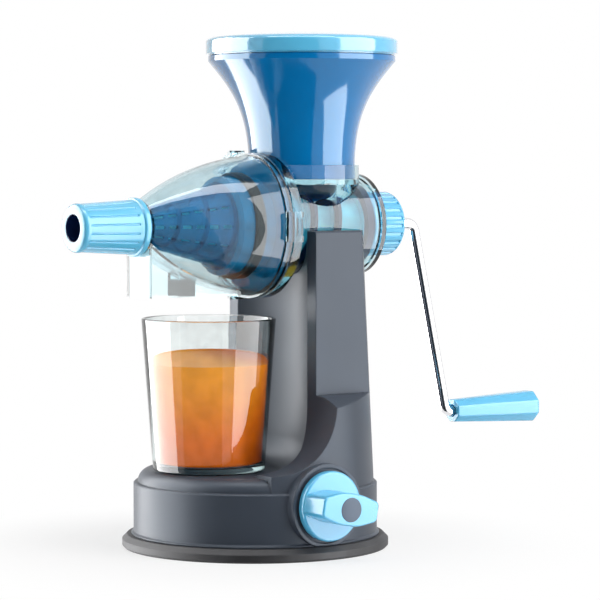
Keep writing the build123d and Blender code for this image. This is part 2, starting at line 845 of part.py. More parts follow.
seal_start = wall_inside + seat_gap
with BuildPart() as shaft_seal:
    revolve(
        barrel_ring(
            seal_start,
            seal_start + seal_thickness - seat_gap,
            seal_radius,
            journal_radius + running_gap,
        ),
        axis=BARREL_AXIS,
    )
finish(shaft_seal, "shaft_seal")

bush_start = wall_inside + seal_thickness + 2 * seat_gap
with BuildPart() as bearing_bush:
    revolve(
        barrel_ring(bush_start, neck_end, neck_bore - seat_gap, journal_radius + running_gap),
        axis=BARREL_AXIS,
    )
    revolve(
        barrel_ring(neck_end, neck_end + 1.0, neck_radius - 1.5, journal_radius + running_gap),
        axis=BARREL_AXIS,
    )
finish(bearing_bush, "bearing_bush")

# ---------------------------------------------------------------- rear nut
nut_start = barrel_end + seat_gap
nut_end = nut_start + nut_length
with BuildPart() as rear_nut:
    revolve(barrel_ring(nut_start, nut_end, nut_radius), axis=BARREL_AXIS)
    chamfer(rear_nut.edges().filter_by(GeomType.CIRCLE).group_by(Axis.X)[-1], length=2.2)
    chamfer(rear_nut.edges().filter_by(GeomType.CIRCLE).group_by(Axis.X)[0], length=0.6)
    revolve(
        barrel_ring(nut_start - 1, nut_end - nut_end_wall, neck_radius + seat_gap),
        axis=BARREL_AXIS,
        mode=Mode.SUBTRACT,
    )
    with BuildSketch(cross_plane(nut_start - 1)):
        Circle(rod_radius + moving_gap)
    extrude(amount=nut_length + 2, mode=Mode.SUBTRACT)
    with Locations(Location(((nut_start + nut_end) / 2, 0, axis_height), (0, 90, 0))):
        with PolarLocations(nut_radius + 0.3, nut_ribs):
            Box(2 * nut_rib_depth, nut_rib_width, nut_length - nut_plain_ends, mode=Mode.SUBTRACT)
finish(rear_nut, "rear_nut")

# ---------------------------------------------------------------- crank and grip
grip_axis_z = axis_height - arm_drop
with BuildPart() as crank_rod:
    with BuildLine():
        FilletPolyline(
            (rod_socket, 0, axis_height),
            (rod_reach, 0, axis_height),
            (rod_reach + arm_slant, 0, grip_axis_z),
            (rod_end, 0, grip_axis_z),
            radius=bend_radius,
        )
    with BuildSketch(cross_plane(rod_socket)):
        Circle(rod_radius)
    sweep()
    with BuildSketch(Plane(origin=(pin_x, 0, axis_height), x_dir=(1, 0, 0), z_dir=(0, 0, 1))):
        Circle(pin_radius + seat_gap / 2)
    extrude(amount=rod_radius + 1, both=True, mode=Mode.SUBTRACT)
    with BuildSketch(Plane(origin=(rod_end, 0, grip_axis_z), x_dir=(0, 1, 0), z_dir=(1, 0, 0))):
        Circle(pin_radius + seat_gap / 2)
    extrude(amount=-grip_screw_length - 1, mode=Mode.SUBTRACT)
finish(crank_rod, "crank_rod")


def grip_plane(x):
    """A plane across the grip's axis."""
    return Plane(origin=(x, 0, grip_axis_z), x_dir=(0, 1, 0), z_dir=(1, 0, 0))


head_room = screw_head + 0.6
with BuildPart() as crank_grip:
    half_turn = 180 / grip_sides
    with BuildSketch(grip_plane(grip_start)):
        RegularPolygon(grip_inner_radius, grip_sides, rotation=half_turn)
    with BuildSketch(grip_plane(grip_end)):
        RegularPolygon(grip_outer_radius, grip_sides, rotation=half_turn)
    loft()
    grip_ends = crank_grip.edges().group_by(Axis.X)
    chamfer(grip_ends[-1], length=1.8)
    chamfer(grip_ends[0], length=0.8)
    with BuildSketch(grip_plane(grip_start - 1)):
        Circle(rod_radius + running_gap)
    extrude(amount=grip_end - grip_start + 2, mode=Mode.SUBTRACT)
    with BuildSketch(grip_plane(grip_start - 1)):
        Circle(rod_radius + counterbore_step)
    extrude(amount=counterbore_depth, mode=Mode.SUBTRACT)
    with BuildSketch(grip_plane(rod_end - moving_gap)):
        Circle(screw_head_radius + moving_gap)
    extrude(amount=grip_end, mode=Mode.SUBTRACT)
finish(crank_grip, "crank_grip")

with BuildPart() as grip_screw:
    with BuildSketch(grip_plane(rod_end)):
        Circle(screw_head_radius)
    extrude(amount=screw_head)
    with BuildSketch(grip_plane(rod_end)):
        Circle(pin_radius)
    extrude(amount=-grip_screw_length)
    with BuildSketch(grip_plane(rod_end + screw_head)):
        Rectangle(grip_cross_length, grip_cross_width)
        Rectangle(grip_cross_width, grip_cross_length)
    extrude(amount=-1.2, mode=Mode.SUBTRACT)
finish(grip_screw, "grip_screw")

with BuildPart() as grip_cap:
    with BuildSketch(grip_plane(grip_end - end_cap - 0.2)):
        Circle(screw_head_radius + moving_gap - seat_gap)
    extrude(amount=end_cap)
    chamfer(grip_cap.edges().filter_by(GeomType.CIRCLE).group_by(Axis.X)[-1], length=0.4)
finish(grip_cap, "grip_cap")

# ---------------------------------------------------------------- pulp nozzle
nozzle_start = housing_nose - 1.6
nozzle_bottom = housing_nose - socket_length - 1.2
with BuildPart() as pulp_nozzle:
    with BuildSketch(BARREL_SECTION):
        with BuildLine():
            Polyline(
                (nozzle_start, 0),
                (nozzle_start, nozzle_collar_radius - 0.6),
                (nozzle_start - 0.6, nozzle_collar_radius),
                (nozzle_start - nozzle_collar, nozzle_collar_radius),
                (nozzle_start - nozzle_collar, nozzle_root_radius),
                (nozzle_end + 2.4, nozzle_tip_radius),
                (nozzle_end, nozzle_tip_radius - 2.4),
                (nozzle_end, 0),
                close=True,
            )
        make_face()
    revolve(axis=BARREL_AXIS)
    groove_length = nozzle_start - nozzle_collar - nozzle_end - nozzle_plain_ends
    groove_middle = (nozzle_start - nozzle_collar + nozzle_end) / 2 + 1
    with Locations(Location((groove_middle, 0, axis_height), (0, 90, 0))):
        with PolarLocations((nozzle_tip_radius + nozzle_root_radius) / 2 + 0.3, nozzle_grooves):
            Box(2 * nozzle_groove_depth, nozzle_groove_width, groove_length, mode=Mode.SUBTRACT)
    revolve(
        barrel_ring(nozzle_bottom, nozzle_start + 1, socket_radius + seat_gap),
        axis=BARREL_AXIS,
        mode=Mode.SUBTRACT,
    )
    revolve(
        barrel_ring(nozzle_end - 1, nozzle_start, nozzle_bore),
        axis=BARREL_AXIS,
        mode=Mode.SUBTRACT,
    )
finish(pulp_nozzle, "pulp_nozzle")

with BuildPart() as nozzle_washer:
    revolve(
        barrel_ring(nozzle_bottom + 0.1, nozzle_bottom + 1.1, socket_radius - 0.4, nozzle_bore + 0.4),
        axis=BARREL_AXIS,
    )
finish(nozzle_washer, "nozzle_washer")

# ---------------------------------------------------------------- hopper
hopper_seat = ledge_height + moving_gap
flare_start = throat_top + hopper_neck_rise


def hopper_profile(inset):
    """The hopper's trumpet line from neck to rim, moved in by inset."""
    return [
        (hopper_neck_radius - inset, flare_start),
        (hopper_neck_radius + hopper_waist_step - inset, flare_start + hopper_waist_rise),
        (hopper_neck_radius + hopper_bell_step - inset, flare_start + hopper_bell_rise),
        (hopper_rim_radius - inset, hopper_top - hopper_lip),
    ]


with BuildPart() as hopper:
    with BuildSketch(upright_plane(throat_x)):
        with BuildLine():
            outer_line = hopper_profile(0)
            inner_line = hopper_profile(hopper_wall)
            neck = hopper_neck_radius
            Spline(*outer_line, tangents=[(0, 1), (1, 0.9)])
            Polyline(outer_line[-1], (hopper_rim_radius, hopper_top))
            Line((hopper_rim_radius, hopper_top), (hopper_rim_radius - hopper_wall, hopper_top))
            Line((hopper_rim_radius - hopper_wall, hopper_top), inner_line[-1])
            Spline(*inner_line, tangents=[(0, 1), (1, 0.9)])
            Polyline(
                inner_line[0],
                (neck - hopper_wall, hopper_seat + hopper_wall),
                (feed_radius, hopper_seat + hopper_wall),
                (feed_radius, hopper_seat),
                (neck - 0.8, hopper_seat),
                (neck, hopper_seat + 0.8),
                outer_line[0],
            )
        make_face()
    revolve(axis=Axis((throat_x, 0, 0), (0, 0, 1)))
finish(hopper, "hopper")

# ---------------------------------------------------------------- lid
plug_radius = hopper_rim_radius - hopper_wall - moving_gap
lid_top = lid_bottom + lid_edge
plug_bottom = hopper_top - hopper_lip + moving_gap
dome_edge = lid_radius - lid_bevel
dome_radius = (dome_edge**2 + lid_dome**2) / (2 * lid_dome)
dome_sag = dome_radius - math.sqrt(dome_radius**2 - (dome_edge / 2) ** 2)
with BuildPart() as hopper_lid:
    with BuildSketch(upright_plane(throat_x)):
        with BuildLine():
            Polyline(
                (0, lid_top + lid_dome - lid_wall),
                (plug_radius - lid_wall, lid_top - lid_wall),
                (plug_radius - lid_wall, plug_bottom),
                (plug_radius, plug_bottom),
                (plug_radius, hopper_top + moving_gap),
                (hopper_rim_radius, hopper_top + moving_gap),
                (hopper_rim_radius, lid_bottom),
                (lid_radius, lid_bottom),
                (lid_radius, lid_top - lid_bevel),
                (dome_edge, lid_top),
            )
            ThreePointArc(
                (dome_edge, lid_top),
                (dome_edge / 2, lid_top + lid_dome - dome_sag),
                (0, lid_top + lid_dome),
            )
            Line((0, lid_top + lid_dome), (0, lid_top + lid_dome - lid_wall))
        make_face()
    revolve(axis=Axis((throat_x, 0, 0), (0, 0, 1)))
finish(hopper_lid, "hopper_lid")

# ---------------------------------------------------------------- juice cup
cup_bottom = deck_top + moving_gap
with BuildPart() as juice_cup:
    with BuildSketch(upright_plane(cup_x)):
        with BuildLine():
            Polyline(
                (0, cup_bottom),
                (cup_base_radius - 1.5, cup_bottom),
                (cup_base_radius, cup_bottom + 1.5),
                (cup_top_radius, cup_bottom + cup_height - 0.8),
                (cup_top_radius - 0.8, cup_bottom + cup_height),
                (cup_top_radius - cup_wall, cup_bottom + cup_height),
                (cup_base_radius - cup_wall + 0.4, cup_bottom + cup_floor + 2),
                (cup_base_radius - cup_wall - 2, cup_bottom + cup_floor),
                (0, cup_bottom + cup_floor),
                close=True,
            )
        make_face()
    revolve(axis=Axis((cup_x, 0, 0), (0, 0, 1)))
finish(juice_cup, "juice_cup")
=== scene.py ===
"""Finishes, smooth shells, juice and studio for the hand-cranked juicer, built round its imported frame."""

import logging
import math
from dataclasses import dataclass, field, replace
from enum import Enum
from typing import Any, Callable, Dict, List, Optional, Sequence, Tuple, Union

import bmesh
import bpy
from mathutils import Matrix, Vector


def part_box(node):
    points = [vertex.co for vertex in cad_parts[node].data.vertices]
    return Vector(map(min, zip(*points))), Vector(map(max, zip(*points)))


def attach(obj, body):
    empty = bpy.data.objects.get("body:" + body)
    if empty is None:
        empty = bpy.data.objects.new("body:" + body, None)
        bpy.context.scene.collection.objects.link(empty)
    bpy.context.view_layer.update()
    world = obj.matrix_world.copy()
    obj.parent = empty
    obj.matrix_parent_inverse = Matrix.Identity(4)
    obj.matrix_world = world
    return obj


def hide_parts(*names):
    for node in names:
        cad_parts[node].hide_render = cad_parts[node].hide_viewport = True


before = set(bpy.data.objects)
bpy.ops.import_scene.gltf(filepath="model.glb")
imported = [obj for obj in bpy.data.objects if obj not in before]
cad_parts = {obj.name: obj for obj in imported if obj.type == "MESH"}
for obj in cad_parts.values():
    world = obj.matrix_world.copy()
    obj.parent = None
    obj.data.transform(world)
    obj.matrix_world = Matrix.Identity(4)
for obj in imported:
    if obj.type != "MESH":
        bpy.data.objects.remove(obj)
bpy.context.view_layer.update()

LOG = logging.getLogger("juicer")
MM = 0.001
FULL_TURN = 2 * math.pi
SHARP_ANGLE = math.radians(32)
NEAR = 0.01 * MM

Colour = Tuple[float, float, float]
Value = Union["Signal", float, Sequence[float]]
Inputs = Dict[Union[str, int], Value]


def centre(node: str) -> Vector:
    """The middle of a frame node's box."""
    low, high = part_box(node)
    return (Vector(low) + Vector(high)) / 2


AXIS_HEIGHT = centre("pulp_nozzle").z


def srgb(red: int, green: int, blue: int) -> Colour:
    """A display colour as the linear colour that shaders take.

    Args:
        red: The red channel, 0 to 255.
        green: The green channel.
        blue: The blue channel.

    Returns:
        The linear colour.
    """
    def channel(level: int) -> float:
        """One channel, made linear."""
        share = level / 255
        return share / 12.92 if share <= 0.04045 else ((share + 0.055) / 1.055) ** 2.4
    return channel(red), channel(green), channel(blue)


class Body(Enum):
    """The bodies of the juicer that move on their own."""

    STAND = "stand"
    CRANK = "crank"
    GRIP = "grip"
    LEVER = "lever"
    HOPPER = "hopper"
    LID = "lid"
    NOZZLE = "nozzle"
    CUP = "cup"


# ------------------------------------------------------------------------------------------- shader tools
class Signal:
    """A shader node's output, which can stand in sums and products with numbers and other outputs."""

    def __init__(self, board: "ShaderBoard", socket: bpy.types.NodeSocket) -> None:
        """Wraps one output socket of the board's node tree."""
        self.board = board
        self.socket = socket

    def _math(self, operation: str, left: Value, right: Value) -> "Signal":
        """One Math node on two values."""
        return self.board.node("ShaderNodeMath", {"operation": operation}, {0: left, 1: right})

    def __add__(self, other: Value) -> "Signal":
        """self + other."""
        return self._math("ADD", self, other)

    def __radd__(self, other: Value) -> "Signal":
        """other + self."""
        return self._math("ADD", other, self)

    def __sub__(self, other: Value) -> "Signal":
        """self - other."""
        return self._math("SUBTRACT", self, other)

    def __rsub__(self, other: Value) -> "Signal":
        """other - self."""
        return self._math("SUBTRACT", other, self)

    def __mul__(self, other: Value) -> "Signal":
        """self * other."""
        return self._math("MULTIPLY", self, other)

    def __rmul__(self, other: Value) -> "Signal":
        """other * self."""
        return self._math("MULTIPLY", other, self)

    def __pow__(self, other: Value) -> "Signal":
        """self ** other."""
        return self._math("POWER", self, other)

    def smaller(self, other: Value) -> "Signal":
        """The smaller of self and other."""
        return self._math("MINIMUM", self, other)

    def larger(self, other: Value) -> "Signal":
        """The larger of self and other."""
        return self._math("MAXIMUM", self, other)

    def clamped(self) -> "Signal":
        """self, kept between 0 and 1."""
        return self.board.node("ShaderNodeClamp", {}, {"Value": self})


class ShaderBoard:
    """The node tree of one material or of the world, with the few builders that the finishes share."""

    def __init__(self, tree: bpy.types.NodeTree) -> None:
        """Empties the tree and keeps it."""
        self.tree = tree
        self.tree.nodes.clear()

    @classmethod
    def for_material(cls, name: str) -> Tuple["ShaderBoard", bpy.types.Material]:
        """A new material and its board.

        Args:
            name: The material's name.

        Returns:
            The board and the material.
        """
        material = bpy.data.materials.new(name)
        material.use_nodes = True
        return cls(material.node_tree), material

    def node(
        self,
        kind: str,
        settings: Optional[Dict[str, Any]] = None,
        inputs: Optional[Inputs] = None,
        output: Union[str, int] = 0,
    ) -> Signal:
        """Adds any node.

        Args:
            kind: The node's type, such as "ShaderNodeMath".
            settings: Its properties, set first. "stops" fills a colour ramp with (place, colour) pairs.
            inputs: Values or signals for its sockets, by name or number.
            output: Which output to return.

        Returns:
            The chosen output as a signal.
        """
        made = self.tree.nodes.new(kind)
        for name, value in (settings or {}).items():
            if name == "stops":
                self._fill_ramp(made.color_ramp, value)
            else:
                setattr(made, name, value)
        for name, value in (inputs or {}).items():
            socket = made.inputs[name]
            if isinstance(value, Signal):
                self.tree.links.new(value.socket, socket)
            elif isinstance(value, tuple) and socket.type == "RGBA":
                socket.default_value = (*value, 1.0)
            else:
                socket.default_value = value
        return Signal(self, made.outputs[output])

    @staticmethod
    def _fill_ramp(ramp: bpy.types.ColorRamp, stops: Sequence[Tuple[float, Colour]]) -> None:
        """Sets a colour ramp's stops.

        Args:
            ramp: The ramp.
            stops: Its stops as (place, colour) pairs.
        """
        while len(ramp.elements) > 1:
            ramp.elements.remove(ramp.elements[-1])
        for number, (place, colour) in enumerate(stops):
            stop = ramp.elements[0] if number == 0 else ramp.elements.new(place)
            stop.position = place
            stop.color = (*colour, 1.0)

    def point(self) -> Signal:
        """The surface point in the juicer's own frame, in metres."""
        return self.node("ShaderNodeTexCoord", {}, {}, "Object")

    def offset(self, origin: Sequence[float]) -> Tuple[Signal, Signal, Signal]:
        """The surface point as seen from an origin.

        Args:
            origin: The origin, in metres.

        Returns:
            How far the point lies along X, Y and Z.
        """
        inputs: Inputs = {0: self.point(), 1: tuple(origin)}
        moved = self.node("ShaderNodeVectorMath", {"operation": "SUBTRACT"}, inputs)
        outputs = self.node("ShaderNodeSeparateXYZ", {}, {0: moved}).socket.node.outputs
        return tuple(Signal(self, outputs[number]) for number in range(3))

    def axis_distance(self) -> Signal:
        """The surface point's distance from the barrel's axis."""
        _, side, up = self.offset((0, 0, AXIS_HEIGHT))
        return (side * side + up * up) ** 0.5

    def noise(self, size: float, detail: float = 2.0, stretch: Sequence[float] = (1, 1, 1)) -> Signal:
        """Smooth noise from 0 to 1.

        Args:
            size: The size of its blotches, in metres.
            detail: How many finer layers it has.
            stretch: How much longer the blotches are along each axis.

        Returns:
            The noise's value.
        """
        scale = tuple(1 / (size * part) for part in stretch)
        scaled = self.node("ShaderNodeMapping", {}, {"Vector": self.point(), "Scale": scale})
        return self.node("ShaderNodeTexNoise", {}, {"Vector": scaled, "Scale": 1.0, "Detail": detail}, "Fac")

    def ramp(self, value: Signal, low: float, high: float) -> Signal:
        """0 where value is at low, 1 where it is at high, smooth between."""
        return self.node(
            "ShaderNodeMapRange",
            {"interpolation_type": "SMOOTHSTEP"},
            {"Value": value, "From Min": low, "From Max": high},
        )

    def mix(self, factor: Value, first: Value, second: Value) -> Signal:
        """Two colours mixed by a factor."""
        return self.node("ShaderNodeMix", {"data_type": "RGBA"}, {0: factor, 6: first, 7: second}, 2)

    def blend(self, factor: Value, first: Signal, second: Signal) -> Signal:
        """Two shaders mixed by a factor."""
        return self.node("ShaderNodeMixShader", {}, {0: factor, 1: first, 2: second})

    def shaded(self, colour: Value, strength: Signal) -> Signal:
        """A colour made lighter or darker by a strength round 1."""
        return self.node("ShaderNodeVectorMath", {"operation": "SCALE"}, {0: colour, "Scale": strength})

    def bump(self, height: Signal, depth: float, normal: Optional[Signal] = None) -> Signal:
        """A normal tilted by a height signal.

        Args:
            height: The height, 0 to 1.
            depth: What a height of 1 stands for, in metres.
            normal: The normal that is tilted, the surface's own if none is given.

        Returns:
            The tilted normal.
        """
        inputs: Inputs = {"Height": height, "Distance": depth, "Strength": 1.0}
        if normal is not None:
            inputs["Normal"] = normal
        return self.node("ShaderNodeBump", {}, inputs)

    def soft_edges(self, radius: float) -> Signal:
        """A normal that rounds sharp edges."""
        return self.node("ShaderNodeBevel", {"samples": 6}, {"Radius": radius})

    def edge_mask(self, rounded: Signal) -> Signal:
        """1 on sharp edges and 0 away from them.

        Args:
            rounded: The normal that rounds sharp edges.

        Returns:
            The mask.
        """
        flat = self.node("ShaderNodeNewGeometry", {}, {}, "Normal")
        inputs: Inputs = {0: rounded, 1: flat}
        along = self.node("ShaderNodeVectorMath", {"operation": "DOT_PRODUCT"}, inputs, "Value")
        return self.ramp(1 - along, 0.02, 0.25)

    def principled(self, inputs: Inputs) -> Signal:
        """The main surface shader."""
        return self.node("ShaderNodeBsdfPrincipled", {}, inputs)

    def surface(self, shader: Signal, volume: Optional[Signal] = None) -> None:
        """Sends a shader, and a volume if there is one, to the output.

        Args:
            shader: The surface shader.
            volume: The volume shader, if the piece has one.
        """
        made = self.tree.nodes.new("ShaderNodeOutputMaterial")
        self.tree.links.new(shader.socket, made.inputs["Surface"])
        if volume is not None:
            self.tree.links.new(volume.socket, made.inputs["Volume"])


# ------------------------------------------------------------------------------------------- finishes
@dataclass(frozen=True)
class ShadedBore:
    """Painted shade in a bore along the barrel's axis: a darker colour inside it stands in for the shade
    there.
    """

    radius: float
    colour: Colour

    def mask(self, board: ShaderBoard) -> Signal:
        """1 inside the bore and 0 outside it."""
        return 1 - board.ramp(board.axis_distance(), self.radius, self.radius + 0.5 * MM)


@dataclass(frozen=True)
class MouldedPlastic:
    """Opaque moulded plastic with faint flow marks, a fine grain and softened, slightly worn edges."""

    name: str
    colour: Colour
    roughness: float = 0.3
    coat: float = 0.0
    mottle: float = 0.04
    grain: float = 0.7 * MM
    grain_depth: float = 0.012 * MM
    edge: float = 0.5 * MM
    wear: float = 0.25
    light_through: float = 0.0
    sheen: float = 0.5
    sheen_tint: Colour = (1.0, 1.0, 1.0)
    # painted shade of a bore along the barrel's axis, if the piece has one
    bore: Optional[ShadedBore] = None

    def material(self) -> bpy.types.Material:
        """Builds the material.

        Returns:
            The material.
        """
        board, material = ShaderBoard.for_material(self.name)
        flow = board.noise(14 * MM, 3.0, (1, 1, 2.5))
        speck = board.noise(self.grain, 2.0)
        haze = board.noise(38 * MM, 2.0)
        rounded = board.soft_edges(self.edge)
        edges = board.edge_mask(rounded) * board.ramp(board.noise(5 * MM, 4.0), 0.35, 0.75)
        tone = 1 + (flow - 0.5) * (2 * self.mottle) + (speck - 0.5) * self.mottle
        plain: Value = self.colour
        # painted shade: inside the bore the colour turns to the bore's darker colour
        if self.bore is not None:
            plain = board.mix(self.bore.mask(board), self.colour, self.bore.colour)
        colour = board.shaded(plain, tone + edges * self.wear)
        rough = self.roughness + (speck - 0.5) * 0.1 + (haze - 0.5) * 0.12 + edges * 0.1
        board.surface(
            board.principled(
                {
                    "Base Color": colour,
                    "Roughness": rough.clamped(),
                    "Coat Weight": self.coat,
                    "Coat Roughness": 0.04,
                    "Specular IOR Level": self.sheen,
                    "Specular Tint": self.sheen_tint,
                    "Subsurface Weight": self.light_through,
                    "Subsurface Radius": tuple(0.3 + part for part in self.colour),
                    "Subsurface Scale": 4 * MM,
                    "Normal": board.bump(speck + flow * 0.4, self.grain_depth, rounded),
                }
            )
        )
        return material


@dataclass(frozen=True)
class ShadedPost:
    """An upright tube of a clear part, with painted shade: a darker colour on it stands in for how its double
    wall looks darker than the rest.
    """

    x: float
    radius: float
    top: float
    # the colour of the painted shade
    colour: Colour

    def mask(self, board: ShaderBoard) -> Signal:
        """1 on the post and 0 away from it.

        Args:
            board: The board of the material.

        Returns:
            The mask.
        """
        along, side, up = board.offset((self.x, 0, 0))
        reach = (along * along + side * side) ** 0.5
        near = 1 - board.ramp(reach, self.radius, self.radius + 0.4 * MM)
        return near * (1 - board.ramp(up, self.top - 2 * MM, self.top))


@dataclass(frozen=True)
class ClearPlastic:
    """Clear moulded plastic, with painted shade darkening its rims where the wall is seen edge-on, and darker
    through its thick parts.
    """

    name: str
    tint: Colour
    # the colour of the painted shade at the rims
    rim: Colour
    through: Colour
    density: float
    roughness: float = 0.03
    ripple: float = 0.02 * MM
    index: float = 1.49
    sheen: float = 0.09
    shaded_post: Optional[ShadedPost] = None

    def material(self) -> bpy.types.Material:
        """Builds the material.

        Returns:
            The material.
        """
        board, material = ShaderBoard.for_material(self.name)
        ripple = board.noise(11 * MM, 2.0)
        dust = board.noise(1.6 * MM, 3.0)
        facing = board.node("ShaderNodeLayerWeight", {}, {"Blend": 0.4}, "Facing")
        streak = 1 - board.ramp(ripple, 0.35, 0.7) * 0.1
        # painted shade: the colour turns to the dark rim colour where the surface is seen edge-on
        colour = board.mix(facing ** 2.5, board.shaded(self.tint, streak), self.rim)
        # painted shade on the upright tube's double wall
        if self.shaded_post is not None:
            colour = board.mix(self.shaded_post.mask(board), colour, self.shaded_post.colour)
        surface = board.principled(
            {
                "Base Color": colour,
                "Roughness": (self.roughness + board.ramp(dust, 0.55, 0.85) * 0.08).clamped(),
                "Transmission Weight": 1.0,
                "IOR": self.index,
                "Specular IOR Level": self.sheen,
                "Normal": board.bump(ripple, self.ripple),
            }
        )
        see_through = board.node("ShaderNodeBsdfTransparent", {}, {"Color": self.tint})
        shadow = board.node("ShaderNodeLightPath", {}, {}, "Is Shadow Ray")
        depth = board.node("ShaderNodeVolumeAbsorption", {}, {"Color": self.through, "Density": self.density})
        board.surface(board.blend(shadow, surface, see_through), depth)
        return material


@dataclass(frozen=True)
class PressCone:
    """The cone that the strainer lies on and the auger's flights reach to."""

    tip_x: float = -79.8 * MM
    tip_radius: float = 11 * MM
    root_radius: float = 24.4 * MM
    widening: float = 0.275

    def depth(self, board: ShaderBoard) -> Signal:
        """How far the surface point lies outside the cone.

        Args:
            board: The board of the material.

        Returns:
            The distance, negative inside the cone.
        """
        along, _, _ = board.offset((self.tip_x, 0, 0))
        radius = (self.tip_radius + along * self.widening).smaller(self.root_radius)
        return board.axis_distance() - radius


@dataclass(frozen=True)
class TintedPlastic:
    """Half-clear coloured plastic, as of the strainer and the auger, which changes across the press cone."""

    name: str
    colour: Colour
    deep: Colour
    clearness: float
    change: Tuple[float, float]
    dulled: float = 1.0
    cone: PressCone = PressCone()
    through: Colour = (0.35, 0.8, 0.9)
    roughness: float = 0.12

    def material(self) -> bpy.types.Material:
        """Builds the material.

        Returns:
            The material.
        """
        board, material = ShaderBoard.for_material(self.name)
        flow = board.noise(9 * MM, 3.0, (2, 1, 1))
        speck = board.noise(0.9 * MM, 2.0)
        rounded = board.soft_edges(0.4 * MM)
        edges = board.edge_mask(rounded)
        outward = board.ramp(self.cone.depth(board), *self.change)
        body = board.mix(outward, self.colour, self.deep)
        colour = board.shaded(body, 0.85 + board.ramp(flow, 0.3, 0.7) * 0.3 + edges * 0.5)
        surface = board.principled(
            {
                "Base Color": colour,
                "Roughness": (self.roughness + (speck - 0.5) * 0.1).clamped(),
                "IOR": 1.5,
                "Normal": board.bump(speck, 0.01 * MM, rounded),
            }
        )
        see_through = board.node("ShaderNodeBsdfTransparent", {}, {"Color": self.through})
        clear = self.clearness * (1 - outward * self.dulled)
        board.surface(board.blend(clear, surface, see_through))
        return material


@dataclass(frozen=True)
class Rubber:
    """Soft moulded rubber: dull, finely pitted, with a trace of dust."""

    name: str
    colour: Colour
    dust: Colour = (0.09, 0.09, 0.1)
    roughness: float = 0.62

    def material(self) -> bpy.types.Material:
        """Builds the material.

        Returns:
            The material.
        """
        board, material = ShaderBoard.for_material(self.name)
        pits = board.noise(0.5 * MM, 3.0)
        bloom = board.noise(24 * MM, 4.0)
        rounded = board.soft_edges(0.8 * MM)
        dusty = board.ramp(bloom, 0.45, 0.8) * 0.25
        board.surface(
            board.principled(
                {
                    "Base Color": board.mix(dusty, self.colour, self.dust),
                    "Roughness": (self.roughness + (pits - 0.5) * 0.2).clamped(),
                    "Normal": board.bump(pits, 0.03 * MM, rounded),
                }
            )
        )
        return material


@dataclass(frozen=True)
class Metal:
    """Drawn or plated steel with fine lines along its length."""

    name: str
    colour: Colour
    roughness: float
    line_size: float = 0.25 * MM
    line_depth: float = 0.002 * MM

    def material(self) -> bpy.types.Material:
        """Builds the material.

        Returns:
            The material.
        """
        board, material = ShaderBoard.for_material(self.name)
        lines = board.noise(self.line_size, 2.0, (20, 20, 20))
        smear = board.noise(13 * MM, 3.0)
        spots = board.ramp(board.noise(1.8 * MM, 2.0), 0.68, 0.8)
        tone = 1 + (smear - 0.5) * 0.06 - spots * 0.08
        board.surface(
            board.principled(
                {
                    "Base Color": board.shaded(self.colour, tone),
                    "Metallic": 1.0,
                    "Roughness": (self.roughness + (smear - 0.5) * 0.05 + spots * 0.1).clamped(),
                    "Normal": board.bump(lines, self.line_depth, board.soft_edges(0.2 * MM)),
                }
            )
        )
        return material


@dataclass(frozen=True)
class FreshJuice:
    """Orange juice: cloudy, with painted light and shade: lighter near the top, deeper and redder towards the
    bottom and the column's side.
    """

    name: str
    light: Colour
    middle: Colour
    deep: Colour
    centre: Tuple[float, float, float]
    radius: float
    height: float

    def material(self) -> bpy.types.Material:
        """Builds the material.

        Returns:
            The material.
        """
        board, material = ShaderBoard.for_material(self.name)
        across, _, up = board.offset(self.centre)
        pulp = board.noise(3.2 * MM, 4.0)
        cloud = board.noise(22 * MM, 2.0)
        # painted light and shade: lighter at the top away from the column, darker and redder lower down and
        # towards the column's side
        sink = board.ramp(0 - up + (cloud - 0.5) * (0.06 * self.height), 0.0, self.height)
        side = board.ramp(across, -0.1 * self.radius, 1.05 * self.radius)
        depth = (sink * 0.55 + side * 0.6).clamped()
        stops = ((0.0, self.light), (0.45, self.middle), (1.0, self.deep))
        colour = board.node("ShaderNodeValToRGB", {"stops": stops}, {0: depth})
        flecked = board.shaded(colour, 1 + (pulp - 0.5) * 0.1)
        board.surface(
            board.principled(
                {
                    "Base Color": flecked,
                    "Roughness": 0.3 + pulp * 0.1,
                    "Specular IOR Level": 0.05,
                    "Normal": board.bump(pulp, 0.02 * MM),
                }
            )
        )
        return material


# ------------------------------------------------------------------------------------------- mesh tools
@dataclass(frozen=True)
class Corner:
    """A corner of a turned profile: its radius, its place along the axis and how much it is rounded."""

    radius: float
    place: float
    rounding: float = 0.0


def curve(start: Corner, lean: Corner, hold: Corner, end: Corner, steps: int) -> List[Corner]:
    """The corners along a Bezier curve, for a profile's smooth stretch.

    Args:
        start: Its first point.
        lean: The handle that it leaves along.
        hold: The handle that it arrives along.
        end: Its last point.
        steps: How many corners to return.

    Returns:
        The corners, both ends among them.
    """
    corners = []
    for step in range(steps):
        share = step / (steps - 1)
        rest = 1 - share
        weights = (rest**3, 3 * rest**2 * share, 3 * rest * share**2, share**3)
        points = (start, lean, hold, end)
        corners.append(
            Corner(
                sum(weight * point.radius for weight, point in zip(weights, points)),
                sum(weight * point.place for weight, point in zip(weights, points)),
            )
        )
    return corners


def round_off(made: bmesh.types.BMesh, point: bmesh.types.BMVert, radius: float, segments: int) -> None:
    """Rounds one corner of an outline.

    Args:
        made: The mesh.
        point: The corner.
        radius: How much it is rounded. A corner with 0 stays sharp.
        segments: Facets of the rounded corner.
    """
    if radius:
        bmesh.ops.bevel(
            made, geom=[point], offset=radius, offset_type="OFFSET", segments=segments,
            profile=0.5, affect="VERTICES", clamp_overlap=True, material=-1,
        )


